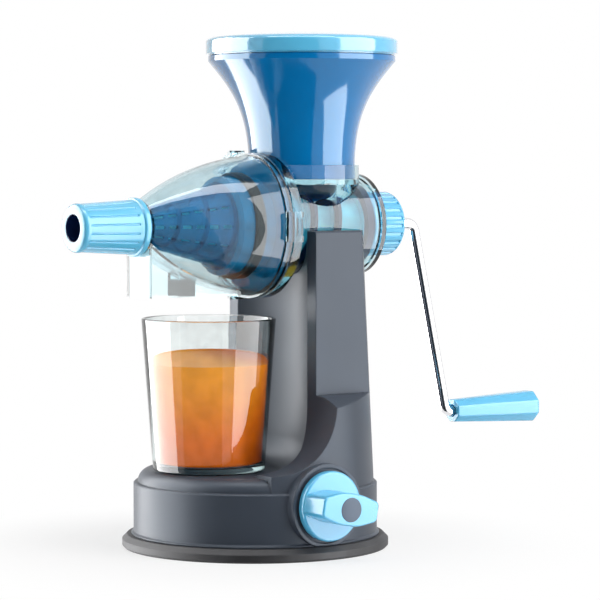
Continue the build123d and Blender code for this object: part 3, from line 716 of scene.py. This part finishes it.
def turned(corners: Sequence[Corner], closed: bool = False, steps: int = 96) -> bmesh.types.BMesh:
    """Turns a profile round the local Z axis.

    Args:
        corners: The profile, from axis to axis, or as a loop.
        closed: True for a loop.
        steps: Facets round the axis.

    Returns:
        A closed mesh with its faces pointing outwards.
    """
    made = bmesh.new()
    points = [made.verts.new((corner.radius, 0, corner.place)) for corner in corners]
    for number, point in enumerate(points[1:]):
        made.edges.new((points[number], point))
    if closed:
        made.edges.new((points[-1], points[0]))
    for point, corner in zip(points, corners):
        round_off(made, point, corner.rounding, 4)
    bmesh.ops.spin(
        made, geom=made.verts[:] + made.edges[:], cent=(0, 0, 0), axis=(0, 0, 1),
        angle=FULL_TURN, steps=steps, use_merge=True,
    )
    tidy(made)
    return made


def tidy(made: bmesh.types.BMesh) -> None:
    """Merges doubled points and turns every face outwards.

    Args:
        made: The mesh.
    """
    bmesh.ops.remove_doubles(made, verts=made.verts, dist=0.002 * MM)
    bmesh.ops.dissolve_degenerate(made, edges=made.edges, dist=0.002 * MM)
    bmesh.ops.recalc_face_normals(made, faces=made.faces)


@dataclass(frozen=True)
class Flutes:
    """Evenly spaced flutes round a turned mesh, width facets wide each."""

    count: int
    width: int
    depth: float = 0.7 * MM
    steps: int = 144

    def sink(self, made: bmesh.types.BMesh, low: float, high: float, reach: float) -> None:
        """Sinks the flutes into the mesh's outer face.

        Args:
            made: The mesh, turned in as many steps as the flutes count on.
            low: Where the fluted stretch starts along the axis.
            high: Where it ends.
            reach: The least radius of the faces that take flutes.
        """
        spacing = self.steps // self.count
        groups: Dict[int, List[bmesh.types.BMFace]] = {}
        for face in made.faces:
            middle = face.calc_center_median()
            if not low < middle.z < high or middle.xy.length < reach:
                continue
            index = int((math.atan2(middle.y, middle.x) % FULL_TURN) / FULL_TURN * self.steps)
            if index % spacing < self.width:
                groups.setdefault(index // spacing, []).append(face)
        for faces in groups.values():
            bmesh.ops.inset_region(
                made, faces=faces, thickness=0.6 * self.depth, depth=-self.depth, use_even_offset=True
            )


def aimed(origin: Sequence[float], axis: Sequence[float]) -> Matrix:
    """The placement that takes the local Z axis to an axis through an origin."""
    turn = Vector((0, 0, 1)).rotation_difference(Vector(axis)).to_matrix().to_4x4()
    return Matrix.Translation(Vector(origin)) @ turn


def upright(node: str) -> Matrix:
    """The placement on the upright axis through a node's middle, from the table up."""
    return aimed((centre(node).x, 0, 0), (0, 0, 1))


def lengthwise(node: str) -> Matrix:
    """The placement along a node's level axis, from its end nearest the nozzle."""
    return aimed((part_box(node)[0].x, 0, centre(node).z), (1, 0, 0))


def lofted_block(outline: Sequence[Tuple[float, float, float]], depth: float) -> bmesh.types.BMesh:
    """A block of constant outline, standing on the local XY plane.

    Args:
        outline: Its corners as (x, y, rounding).
        depth: Its height along Z.

    Returns:
        A closed mesh.
    """
    made = bmesh.new()
    points = [made.verts.new((x, y, 0)) for x, y, _ in outline]
    for number, point in enumerate(points):
        made.edges.new((points[number - 1], point))
    for point, (_, _, rounding) in zip(points, outline):
        round_off(made, point, rounding, 6)
    base = bmesh.ops.contextual_create(made, geom=made.edges[:])["faces"]
    raised = bmesh.ops.extrude_face_region(made, geom=base)
    moved = [item for item in raised["geom"] if isinstance(item, bmesh.types.BMVert)]
    bmesh.ops.translate(made, verts=moved, vec=(0, 0, depth))
    tidy(made)
    return made


def softened(made: bmesh.types.BMesh, chosen: Callable[[bmesh.types.BMEdge], bool], radius: float) -> None:
    """Rounds the chosen edges of a mesh.

    Args:
        made: The mesh.
        chosen: Says which edges are rounded.
        radius: How much they are rounded.
    """
    bmesh.ops.bevel(
        made, geom=[edge for edge in made.edges if chosen(edge)], offset=radius, offset_type="OFFSET",
        segments=4, profile=0.5, affect="EDGES", clamp_overlap=True, material=-1,
    )


def placed_object(
    made: bmesh.types.BMesh, name: str, material: bpy.types.Material, place: Matrix
) -> bpy.types.Object:
    """Links a mesh to the scene as an object with one material.

    Args:
        made: The mesh, which is freed.
        name: The object's name.
        material: Its material.
        place: Where the mesh goes.

    Returns:
        The object.
    """
    bmesh.ops.transform(made, matrix=place, verts=made.verts)
    mesh = bpy.data.meshes.new(name)
    made.to_mesh(mesh)
    made.free()
    mesh.materials.append(material)
    piece = bpy.data.objects.new(name, mesh)
    bpy.context.scene.collection.objects.link(piece)
    return piece


def joined(first: bmesh.types.BMesh, second: bmesh.types.BMesh) -> bmesh.types.BMesh:
    """Adds the second mesh to the first.

    Args:
        first: The mesh that grows.
        second: The mesh that is added and freed.

    Returns:
        The first mesh.
    """
    carrier = bpy.data.meshes.new("carrier")
    second.to_mesh(carrier)
    first.from_mesh(carrier)
    second.free()
    bpy.data.meshes.remove(carrier)
    return first


def settle(
    made: bmesh.types.BMesh,
    name: str,
    body: Body,
    slot: str,
    material: bpy.types.Material,
    place: Matrix,
    *stands_for: str,
) -> None:
    """Makes a finished mesh a piece of the juicer.

    Args:
        made: The mesh, which is freed.
        name: The piece's name.
        body: The body that it rides on.
        slot: Not used.
        material: Its finish.
        place: Where the mesh goes.
        stands_for: The frame nodes that it replaces.
    """
    piece = placed_object(made, name, material, place)
    piece.data.shade_smooth()
    piece.data.set_sharp_from_angle(angle=SHARP_ANGLE)
    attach(piece, body.value)
    if stands_for:
        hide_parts(*stands_for)
    LOG.info("%s rides on %s, %d faces", name, body.value, len(piece.data.polygons))


def dress(material: bpy.types.Material, *nodes: str) -> None:
    """Gives frame nodes their finish.

    Args:
        material: The finish.
        nodes: The nodes' names.
    """
    for node in nodes:
        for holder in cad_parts[node].material_slots:
            holder.material = material
        LOG.info("%s dressed in %s", node, material.name)


# ------------------------------------------------------------------------------------------- sub-assemblies
@dataclass
class Palette:
    """The finishes of the juicer, each made once."""

    made: Dict[str, bpy.types.Material] = field(default_factory=dict)

    def get(self, finish: Any) -> bpy.types.Material:
        """The material of a finish.

        Args:
            finish: Any of the finishes.

        Returns:
            Its material, made at the first call.
        """
        if finish.name not in self.made:
            self.made[finish.name] = finish.material()
        return self.made[finish.name]


ACCENT = MouldedPlastic(
    "sky_blue_plastic", srgb(92, 190, 232), roughness=0.24, coat=0.35, mottle=0.025, light_through=0.1,
    wear=0.12,
)
# painted shade: the nozzle's bore is coloured dark navy
NOZZLE_BLUE = replace(
    ACCENT, name="nozzle_blue_plastic", colour=srgb(100, 196, 234), bore=ShadedBore(8.3 * MM, srgb(10, 34, 78))
)
LID_BLUE = replace(
    ACCENT, name="lid_blue_plastic", colour=srgb(96, 192, 232), roughness=0.14, coat=1.0, mottle=0.02,
    wear=0.1,
)
FUNNEL = MouldedPlastic(
    "ocean_blue_plastic", srgb(0, 118, 184), roughness=0.12, coat=0.5, mottle=0.03, grain_depth=0.003 * MM,
    wear=0.05, sheen_tint=(0.7, 0.92, 1.0),
)
SLATE = MouldedPlastic(
    "slate_plastic", srgb(60, 67, 78), roughness=0.4, mottle=0.05, grain=0.5 * MM, grain_depth=0.02 * MM,
    edge=1.0 * MM, wear=0.5, sheen=0.28, sheen_tint=(0.9, 0.95, 1.0),
)
CAP_SLATE = MouldedPlastic("slate_cap_plastic", srgb(72, 86, 104), roughness=0.38, mottle=0.05, sheen=0.3)
NYLON = MouldedPlastic("natural_nylon", srgb(226, 224, 214), roughness=0.45, mottle=0.03, light_through=0.2)
# the second colour of each clear plastic is the painted shade of its rims
SMOKE = ClearPlastic(
    "smoky_clear_plastic", (0.88, 0.97, 0.99), (0.02, 0.15, 0.2), (0.3, 0.75, 0.85), 34.0,
    # painted shade: a dark teal colour on the barrel's upright tube
    shaded_post=ShadedPost(-54 * MM, 8.5 * MM, 166 * MM, srgb(10, 46, 48)),
)
TUMBLER = ClearPlastic(
    "tumbler_clear_plastic", (0.95, 0.98, 0.98), (0.2, 0.36, 0.38), (0.55, 0.85, 0.85), 14.0, roughness=0.015,
    sheen=0.08,
)
STRAINER_BLUE = TintedPlastic(
    "strainer_blue", srgb(0, 108, 160), srgb(0, 122, 168), 0.55, (1.5 * MM, 3 * MM), dulled=0.7,
    through=(0.35, 0.85, 0.94),
)
AUGER_BLUE = TintedPlastic(
    "auger_blue", srgb(110, 220, 240), srgb(0, 30, 74), 0.0, (-5 * MM, -3 * MM), roughness=0.2
)
BLACK_RUBBER = Rubber("black_rubber", srgb(24, 24, 28))
SEAL_RUBBER = Rubber("seal_rubber", srgb(6, 8, 12), dust=(0.01, 0.015, 0.02), roughness=0.4)
CHROME = Metal("chrome_plate", (0.78, 0.78, 0.8), 0.07)
ZINC = Metal("zinc_plate", (0.55, 0.56, 0.58), 0.28, line_depth=0.006 * MM)


@dataclass
class FeedHopper:
    """The trumpet-shaped hopper and its lid."""

    palette: Palette
    rim_radius: float = 58 * MM
    neck_radius: float = 33 * MM
    feed_radius: float = 23 * MM
    wall: float = 2.5 * MM
    lip: float = 3.5 * MM
    flare_height: float = 12 * MM
    waist: Tuple[float, float] = (1.0 * MM, 0.48)
    bell: Tuple[float, float] = (9.5 * MM, 0.70)
    flare_steps: int = 20
    lid_radius: float = 59.5 * MM
    lid_height: float = 4 * MM
    lid_seam: float = 1.0 * MM
    lid_step: float = 0.7 * MM
    plug_gap: float = 0.3 * MM
    plug_wall: float = 2 * MM
    steps: int = 128

    def trumpet(self, inset: float, low: float, high: float) -> List[Corner]:
        """The flare's line from neck to rim.

        Args:
            inset: How far the line is moved in.
            low: Where the flare starts.
            high: Where it ends.

        Returns:
            The line's corners.
        """
        (waist_step, waist_share), (bell_step, bell_share) = self.waist, self.bell
        return curve(
            Corner(self.neck_radius - inset, low),
            Corner(self.neck_radius + waist_step - inset, low + waist_share * (high - low)),
            Corner(self.neck_radius + bell_step - inset, low + bell_share * (high - low)),
            Corner(self.rim_radius - inset, high),
            self.flare_steps,
        )

    def build(self) -> None:
        """Makes the hopper and the lid."""
        low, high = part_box("hopper")
        start = low.z + self.flare_height
        outer = self.trumpet(0, start, high.z - self.lip)
        inner = self.trumpet(self.wall, start, high.z - self.lip)
        profile = [
            Corner(self.feed_radius, low.z),
            Corner(self.neck_radius, low.z, 0.8 * MM),
            *outer,
            Corner(self.rim_radius, high.z, 0.6 * MM),
            Corner(self.rim_radius - self.wall, high.z, 0.6 * MM),
            *reversed(inner),
            Corner(self.neck_radius - self.wall, low.z + self.wall, 1.0 * MM),
            Corner(self.feed_radius, low.z + self.wall, 0.6 * MM),
        ]
        settle(
            turned(profile, True, self.steps), "feed_hopper", Body.HOPPER, "hopper_blue",
            self.palette.get(FUNNEL), upright("hopper"), "hopper",
        )
        self.build_lid()

    def build_lid(self) -> None:
        """Makes the lid: a shallow domed cap with a rounded brim and a plug that sits inside the rim."""
        low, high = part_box("hopper_lid")
        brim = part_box("hopper")[1].z + self.lid_seam
        plug = self.rim_radius - self.wall - self.plug_gap
        crown = high.z
        top = crown - self.lid_height
        dome = curve(
            Corner(0.3 * self.lid_radius, crown - 0.35 * MM),
            Corner(0.6 * self.lid_radius, crown - 1.2 * MM),
            Corner(0.8 * self.lid_radius, top + 1.6 * MM),
            Corner(self.lid_radius - 2.2 * MM, top + 0.3 * MM),
            8,
        )
        profile = [
            Corner(0, crown),
            *dome,
            Corner(self.lid_radius, top - 1.2 * MM, 0.9 * MM),
            Corner(self.lid_radius, brim, 0.7 * MM),
            Corner(self.rim_radius, brim),
            Corner(self.rim_radius, brim - self.lid_step),
            Corner(plug, brim - self.lid_step),
            Corner(plug, low.z, 0.5 * MM),
            Corner(plug - self.plug_wall, low.z, 0.5 * MM),
            Corner(plug - self.plug_wall, top - self.plug_wall, 0.8 * MM),
            Corner(0, crown - self.plug_wall),
        ]
        settle(
            turned(profile, steps=self.steps), "domed_lid", Body.LID, "light_blue_plastic",
            self.palette.get(LID_BLUE), upright("hopper"), "hopper_lid",
        )


@dataclass
class PressChamber:
    """The clear barrel and front housing with what shows through them."""

    palette: Palette

    def build(self) -> None:
        """Dresses the chamber's nodes."""
        seals = ("housing_gasket", "strainer_seal", "shaft_seal", "nozzle_washer")
        dress(self.palette.get(SMOKE), "barrel", "front_housing")
        dress(self.palette.get(SEAL_RUBBER), *seals)
        dress(self.palette.get(NYLON), "bearing_bush", "thrust_washer")
        dress(self.palette.get(STRAINER_BLUE), "strainer")
        dress(self.palette.get(AUGER_BLUE), "auger")
        dress(self.palette.get(ZINC), "drive_pin")


@dataclass
class PulpOutlet:
    """The ribbed nozzle that the pulp leaves by."""

    palette: Palette
    collar_radius: float = 17.7 * MM
    collar_length: float = 4 * MM
    root_radius: float = 16.5 * MM
    tip_radius: float = 14.6 * MM
    mouth_radius: float = 8 * MM
    socket_radius: float = 12.1 * MM
    socket_depth: float = 15.6 * MM
    bead: float = 3.4 * MM
    plain_tip: float = 4.6 * MM
    plain_root: float = 3 * MM
    flutes: Flutes = Flutes(18, 2)

    def build(self) -> None:
        """Makes the nozzle along its axis, from mouth to collar."""
        low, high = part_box("pulp_nozzle")
        length = high.x - low.x
        collar = length - self.collar_length
        profile = [
            Corner(self.mouth_radius, 0, 0.8 * MM),
            Corner(self.tip_radius - 0.4 * MM, 0, 2.2 * MM),
            Corner(self.tip_radius + 0.1 * MM, self.bead, 0.8 * MM),
            Corner(self.tip_radius - 0.3 * MM, self.plain_tip),
            Corner(self.root_radius - 0.3 * MM, collar - self.plain_root),
            Corner(self.root_radius - 0.1 * MM, collar - 1.6 * MM, 0.4 * MM),
            Corner(self.root_radius - 0.1 * MM, collar, 0.4 * MM),
            Corner(self.collar_radius, collar, 0.9 * MM),
            Corner(self.collar_radius, length, 0.9 * MM),
            Corner(self.socket_radius, length, 0.5 * MM),
            Corner(self.socket_radius, length - self.socket_depth),
            Corner(self.mouth_radius, length - self.socket_depth),
        ]
        made = turned(profile, True, self.flutes.steps)
        inset = 0.2 * MM
        self.flutes.sink(
            made, self.plain_tip + inset, collar - self.plain_root - inset, self.tip_radius - 1.2 * MM
        )
        settle(
            made, "ribbed_nozzle", Body.NOZZLE, "light_blue_plastic", self.palette.get(NOZZLE_BLUE),
            lengthwise("pulp_nozzle"), "pulp_nozzle",
        )


@dataclass
class Crank:
    """The rear nut, the bent rod and the faceted grip."""

    palette: Palette
    nut_flutes: Flutes = Flutes(24, 3)
    neck_radius: float = 17.1 * MM
    nut_bore: float = 3.8 * MM
    nut_end_wall: float = 4.5 * MM
    grip_sides: int = 8
    grip_thin: float = 7.7 * MM
    grip_thick: float = 10.8 * MM
    rod_bore: float = 4.4 * MM
    rod_bore_depth: float = 2.2 * MM
    cap_bore: float = 4.9 * MM
    cap_bore_depth: float = 6.6 * MM

    def build(self) -> None:
        """Makes the nut and the grip, and dresses the rod."""
        self.build_nut()
        self.build_grip()
        dress(self.palette.get(CHROME), "crank_rod")
        dress(self.palette.get(ZINC), "grip_screw")
        dress(self.palette.get(ACCENT), "grip_cap")

    def build_nut(self) -> None:
        """Makes the ribbed nut with its domed end."""
        low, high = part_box("rear_nut")
        radius = (high.z - low.z) / 2
        length = high.x - low.x
        profile = [
            Corner(self.neck_radius, 0, 0.4 * MM),
            Corner(radius, 0, 0.8 * MM),
            Corner(radius, 3.2 * MM, 0.3 * MM),
            Corner(radius - 0.2 * MM, 3.6 * MM),
            Corner(radius - 0.4 * MM, length - 4.2 * MM),
            Corner(radius - 1.0 * MM, length - 2.6 * MM, 1.0 * MM),
            Corner(radius - 4.0 * MM, length, 2.0 * MM),
            Corner(self.nut_bore, length, 0.5 * MM),
            Corner(self.nut_bore, length - self.nut_end_wall),
            Corner(self.neck_radius, length - self.nut_end_wall),
        ]
        made = turned(profile, True, self.nut_flutes.steps)
        self.nut_flutes.sink(made, 3.7 * MM, length - 4.3 * MM, radius - 1.5 * MM)
        settle(
            made, "ribbed_nut", Body.STAND, "light_blue_plastic", self.palette.get(ACCENT),
            lengthwise("rear_nut"), "rear_nut",
        )

    def build_grip(self) -> None:
        """Makes the eight-sided tapered grip with softened ridges and a bore at both ends."""
        low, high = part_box("crank_grip")
        length = high.x - low.x
        half_side = Matrix.Rotation(math.pi / self.grip_sides, 4, "Z")
        made = bmesh.new()
        bmesh.ops.create_cone(
            made, cap_ends=True, segments=self.grip_sides, radius1=self.grip_thin, radius2=self.grip_thick,
            depth=length, matrix=Matrix.Translation((0, 0, length / 2)) @ half_side,
        )
        softened(made, lambda edge: abs(edge.verts[0].co.z - edge.verts[1].co.z) > length / 2, 0.9 * MM)
        softened(made, lambda edge: min(vert.co.z for vert in edge.verts) > length - NEAR, 1.6 * MM)
        softened(made, lambda edge: max(vert.co.z for vert in edge.verts) < NEAR, 0.8 * MM)
        for face in [face for face in made.faces if abs(face.normal.z) > 0.99]:
            bore, depth = self.rod_bore, self.rod_bore_depth
            if face.calc_center_median().z > length / 2:
                bore, depth = self.cap_bore, self.cap_bore_depth
            rim = max(vert.co.xy.length for vert in face.verts)
            bmesh.ops.inset_region(made, faces=[face], thickness=rim - bore, depth=0.0)
            bmesh.ops.inset_region(made, faces=[face], thickness=0.25 * MM, depth=-depth)
        tidy(made)
        settle(
            made, "faceted_grip", Body.GRIP, "light_blue_plastic", self.palette.get(ACCENT),
            lengthwise("crank_grip"), "crank_grip",
        )


@dataclass
class VacuumBase:
    """The stand on its rubber foot, with the lever that draws the vacuum."""

    palette: Palette
    disc_radius: float = 21 * MM
    disc_thickness: float = 5 * MM
    wing_half_length: float = 20 * MM
    wing_half_height: float = 6.4 * MM
    hub_half_height: float = 9.6 * MM
    hub_half_width: float = 6.5 * MM
    wing_tilt: float = math.radians(10)
    wing_root: float = 1 * MM
    cap_radius: float = 7.3 * MM
    cap_sink: float = 1.5 * MM

    def build(self) -> None:
        """Makes the lever's knob and dresses the stand."""
        dress(self.palette.get(SLATE), "stand_body")
        dress(self.palette.get(BLACK_RUBBER), "suction_cup")
        dress(self.palette.get(NYLON), "knob_washer", "cam_shaft", "pull_stem")
        dress(self.palette.get(ZINC), "knob_screw", "circlip")
        self.build_knob()

    def build_knob(self) -> None:
        """Makes the disc and the wing that stands on it."""
        low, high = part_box("lever_knob")
        axis_z = centre("lever_knob").z
        profile = [
            Corner(0, 0),
            Corner(self.disc_radius, 0, 0.4 * MM),
            Corner(self.disc_radius, self.disc_thickness, 1.6 * MM),
            Corner(0, self.disc_thickness),
        ]
        disc = turned(profile)
        reach, paddle = self.wing_half_length, self.wing_half_height
        outline = []
        for side in (1, -1):
            outline += [
                (side * self.hub_half_width, -side * self.hub_half_height, 3 * MM),
                (side * reach, -side * paddle * 0.8, 2.4 * MM),
                (side * reach, side * paddle, 2.4 * MM),
                (side * self.hub_half_width, side * self.hub_half_height, 3 * MM),
            ]
        wing = lofted_block(outline, high.y - low.y - self.disc_thickness + self.wing_root)
        top = max(vert.co.z for vert in wing.verts)
        softened(wing, lambda edge: min(vert.co.z for vert in edge.verts) > top - NEAR, 1.3 * MM)
        raised = Matrix.Translation((0, 0, self.disc_thickness - self.wing_root))
        tilted = raised @ Matrix.Rotation(-self.wing_tilt, 4, "Z")
        bmesh.ops.transform(wing, matrix=tilted, verts=wing.verts)
        settle(
            joined(disc, wing), "lever_grip", Body.LEVER, "light_blue_plastic", self.palette.get(ACCENT),
            aimed((0, high.y, axis_z), (0, -1, 0)), "lever_knob",
        )
        profile = [
            Corner(0, -self.cap_sink),
            Corner(self.cap_radius, -self.cap_sink),
            Corner(self.cap_radius, 0.2 * MM, 0.4 * MM),
            Corner(0, 0.55 * MM),
        ]
        settle(
            turned(profile), "hub_cap", Body.LEVER, "slate_cap", self.palette.get(CAP_SLATE),
            aimed((0, low.y, axis_z), (0, -1, 0)), "knob_cap",
        )


@dataclass
class JuiceTumbler:
    """The clear tumbler and the juice in it."""

    palette: Palette
    top_radius: float = 41 * MM
    base_radius: float = 34 * MM
    wall: float = 2 * MM
    floor: float = 4 * MM
    hollow: float = 1.2 * MM
    juice_height: float = 113 * MM
    meniscus: float = 0.9 * MM
    gap: float = 0.15 * MM
    steps: int = 128

    def inner_radius(self, height: float, low: float, high: float) -> float:
        """The tumbler's inside radius at a height.

        Args:
            height: The height.
            low: The tumbler's lowest height.
            high: Its rim's height.

        Returns:
            The radius.
        """
        share = (height - low) / (high - low)
        return self.base_radius + (self.top_radius - self.base_radius) * share - self.wall

    def build(self) -> None:
        """Makes the tumbler and its juice."""
        low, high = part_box("juice_cup")
        bottom, top = low.z, high.z
        outside = [
            Corner(0, bottom + self.hollow),
            Corner(self.base_radius - 6 * MM, bottom + self.hollow, 0.5 * MM),
            Corner(self.base_radius - 4.5 * MM, bottom, 0.6 * MM),
            Corner(self.base_radius, bottom, 2.2 * MM),
            Corner(self.top_radius, top, 0.9 * MM),
        ]
        inside = [
            Corner(self.top_radius - self.wall, top, 0.9 * MM),
            Corner(self.inner_radius(bottom + self.floor, bottom, top), bottom + self.floor, 3 * MM),
            Corner(0, bottom + self.floor),
        ]
        settle(
            turned(outside + inside, steps=self.steps), "clear_tumbler", Body.CUP, "clear_cup",
            self.palette.get(TUMBLER), upright("juice_cup"), "juice_cup",
        )
        self.build_juice(bottom, top)

    def build_juice(self, bottom: float, top: float) -> None:
        """Makes the juice with the thin rise of its edge against the wall.

        Args:
            bottom: The tumbler's lowest height.
            top: Its rim's height.
        """
        base = bottom + self.floor + self.gap
        level = self.juice_height
        edge = self.inner_radius(level, bottom, top) - self.gap
        profile = [
            Corner(0, base),
            Corner(self.inner_radius(base, bottom, top) - self.gap, base, 3 * MM),
            Corner(edge, level + self.meniscus, 0.1 * MM),
            Corner(edge - 1.6 * MM, level, 0.9 * MM),
            Corner(0, level),
        ]
        # painted light and shade: the juice runs from the light colour at the top to the deep colour at the
        # bottom and the column's side
        juice = FreshJuice(
            "fresh_juice", srgb(255, 158, 20), srgb(244, 116, 0), srgb(136, 16, 0),
            (centre("juice_cup").x, 0, level), self.top_radius, level - base,
        )
        settle(
            turned(profile, steps=self.steps), "juice", Body.CUP, "clear_cup", self.palette.get(juice),
            upright("juice_cup"),
        )


# ------------------------------------------------------------------------------------------- studio
class Seen(Enum):
    """What a lamp lights: matt surfaces or gloss."""

    MATT = "matt"
    GLOSS = "gloss"


@dataclass(frozen=True)
class Viewpoint:
    """The camera's place and the studio's bearings, which are counted from it."""

    azimuth: float = math.radians(-35)
    distance: float = 1.6575
    height: float = 0.234
    aside: float = 0.0276
    pitch: float = math.radians(2.86)
    focal: float = 162.0

    @property
    def right(self) -> Vector:
        """The level direction to the camera's right."""
        return Vector((math.cos(self.azimuth), math.sin(self.azimuth), 0))

    @property
    def away(self) -> Vector:
        """The level direction that the camera looks along."""
        return Vector((-math.sin(self.azimuth), math.cos(self.azimuth), 0))

    def bearing(self, angle: float, rise: float) -> Vector:
        """A direction from the juicer.

        Args:
            angle: Degrees to the right of the camera, as seen from the juicer.
            rise: Degrees above the level.

        Returns:
            A unit vector.
        """
        turn, lift = math.radians(angle), math.radians(rise)
        level = self.right * math.sin(turn) - self.away * math.cos(turn)
        return (level * math.cos(lift) + Vector((0, 0, math.sin(lift)))).normalized()

    def build(self) -> None:
        """Makes the camera."""
        lens = bpy.data.cameras.new("camera")
        lens.lens = self.focal
        lens.sensor_width = 36.0
        camera = bpy.data.objects.new("camera", lens)
        camera.location = self.right * self.aside - self.away * self.distance + Vector((0, 0, self.height))
        camera.rotation_euler = (math.pi / 2 - self.pitch, 0, self.azimuth)
        bpy.context.scene.collection.objects.link(camera)
        bpy.context.scene.camera = camera


@dataclass(frozen=True)
class SoftBox:
    """A soft lamp on a bearing from the camera."""

    name: str
    angle: float
    rise: float
    distance: float
    width: float
    height: float
    radiance: float
    seen: Seen

    def build(self, viewpoint: Viewpoint, target: Vector) -> None:
        """Makes the lamp.

        Args:
            viewpoint: What the lamp's bearing is counted from.
            target: The point that it faces.
        """
        lamp = bpy.data.lights.new(self.name, "AREA")
        lamp.shape = "RECTANGLE"
        lamp.size = self.width
        lamp.size_y = self.height
        lamp.energy = self.radiance * math.pi * self.width * self.height
        holder = bpy.data.objects.new(self.name, lamp)
        direction = viewpoint.bearing(self.angle, self.rise)
        holder.location = target + direction * self.distance
        holder.rotation_euler = direction.to_track_quat("Z", "Y").to_euler()
        holder.visible_camera = False
        holder.visible_glossy = self.seen is Seen.GLOSS
        holder.visible_transmission = False
        holder.visible_diffuse = self.seen is Seen.MATT
        bpy.context.scene.collection.objects.link(holder)


@dataclass
class Studio:
    """White surroundings, lamps, a dark card for the metal and glass, and the floor."""

    viewpoint: Viewpoint
    target: Vector = field(default_factory=lambda: Vector((0, 0, 0.17)))
    ambient: float = 0.3
    floor_size: float = 12.0
    floor_white: float = 0.72
    shadow_reach: Tuple[float, float] = (0.09, 0.22)
    card_size: Tuple[float, float] = (1.2, 3.2)
    card_bearing: Tuple[float, float] = (-12, -14)
    card_distance: float = 0.85
    lamps: Tuple[SoftBox, ...] = (
        SoftBox("key_right", 62, 28, 1.3, 1.0, 1.0, 3.8, Seen.MATT),
        SoftBox("fill_left", -70, 40, 1.4, 0.7, 0.7, 0.8, Seen.MATT),
        SoftBox("top", 20, 78, 1.3, 0.9, 0.9, 2.2, Seen.MATT),
        SoftBox("gloss_right", 72, 2, 1.2, 1.1, 2.6, 6.0, Seen.GLOSS),
        SoftBox("gloss_left", -100, 0, 1.2, 1.6, 2.6, 8.0, Seen.GLOSS),
        SoftBox("gloss_top", 0, 76, 1.0, 0.9, 0.3, 8.0, Seen.GLOSS),
    )

    def build(self) -> None:
        """Makes the whole studio."""
        scene = bpy.context.scene
        scene.view_settings.view_transform = "Standard"
        self.build_world(scene)
        self.build_floor()
        self.build_card()
        for lamp in self.lamps:
            lamp.build(self.viewpoint, self.target)

    @staticmethod
    def seen_directly(board: ShaderBoard) -> Signal:
        """1 for what the camera, a gloss or a clear wall looks at.

        Args:
            board: The board of the material or the world.

        Returns:
            The mask.
        """
        path = board.node("ShaderNodeLightPath", {}, {}, "Is Camera Ray")
        outputs = path.socket.node.outputs
        glossy = Signal(board, outputs["Is Glossy Ray"])
        through = Signal(board, outputs["Is Transmission Ray"])
        return path.larger(glossy).larger(through)

    def build_world(self, scene: bpy.types.Scene) -> None:
        """Makes the world, white to look at and a softer white as light.

        Args:
            scene: The scene that takes it.
        """
        world = bpy.data.worlds.new("studio")
        world.use_nodes = True
        board = ShaderBoard(world.node_tree)
        strength = self.ambient + self.seen_directly(board) * (1 - self.ambient)
        light = board.node("ShaderNodeBackground", {}, {"Color": (1.0, 1.0, 1.0), "Strength": strength})
        output = board.tree.nodes.new("ShaderNodeOutputWorld")
        board.tree.links.new(light.socket, output.inputs["Surface"])
        scene.world = world

    def build_floor(self) -> None:
        """A pale floor that keeps the shadow near the juicer and is plain white beyond."""
        board, material = ShaderBoard.for_material("studio_floor")
        across, deep, _ = board.offset((0, 0, 0))
        distance = (across * across + deep * deep) ** 0.5
        clear = self.floor_white + board.ramp(distance, *self.shadow_reach) * (1 - self.floor_white)
        white = board.node("ShaderNodeEmission", {}, {"Color": (1.0, 1.0, 1.0), "Strength": 1.0})
        paper = board.principled({"Base Color": (0.9, 0.9, 0.9), "Roughness": 0.6, "Specular IOR Level": 0.1})
        shown = self.seen_directly(board) * clear
        board.surface(board.blend(shown, paper, white))
        made = bmesh.new()
        bmesh.ops.create_grid(made, x_segments=1, y_segments=1, size=self.floor_size / 2)
        floor = placed_object(made, "floor", material, Matrix())
        floor.visible_glossy = False

    def build_card(self) -> None:
        """A dark card before the juicer that only gloss and glass see."""
        board, material = ShaderBoard.for_material("dark_card")
        board.surface(board.node("ShaderNodeEmission", {}, {"Color": (0.02, 0.03, 0.04), "Strength": 1.0}))
        made = bmesh.new()
        bmesh.ops.create_grid(made, x_segments=1, y_segments=1, size=0.5)
        width, height = self.card_size
        direction = self.viewpoint.bearing(*self.card_bearing)
        turn = direction.to_track_quat("Z", "Y").to_matrix().to_4x4()
        place = Matrix.Translation(self.target + direction * self.card_distance) @ turn
        card = placed_object(made, "dark_card", material, place @ Matrix.Diagonal((width, height, 1.0, 1.0)))
        card.visible_camera = False
        card.visible_diffuse = False
        card.visible_shadow = False
        card.visible_transmission = False


def main() -> None:
    """Builds the camera, the studio and the juicer's sub-assemblies in order."""
    logging.basicConfig(level=logging.INFO, format="%(name)s: %(message)s")
    viewpoint = Viewpoint()
    viewpoint.build()
    Studio(viewpoint).build()
    palette = Palette()
    for assembly in (
        VacuumBase(palette),
        PressChamber(palette),
        PulpOutlet(palette),
        Crank(palette),
        FeedHopper(palette),
        JuiceTumbler(palette),
    ):
        assembly.build()
        LOG.info("%s built", type(assembly).__name__)


if __name__ == "__main__":
    main()
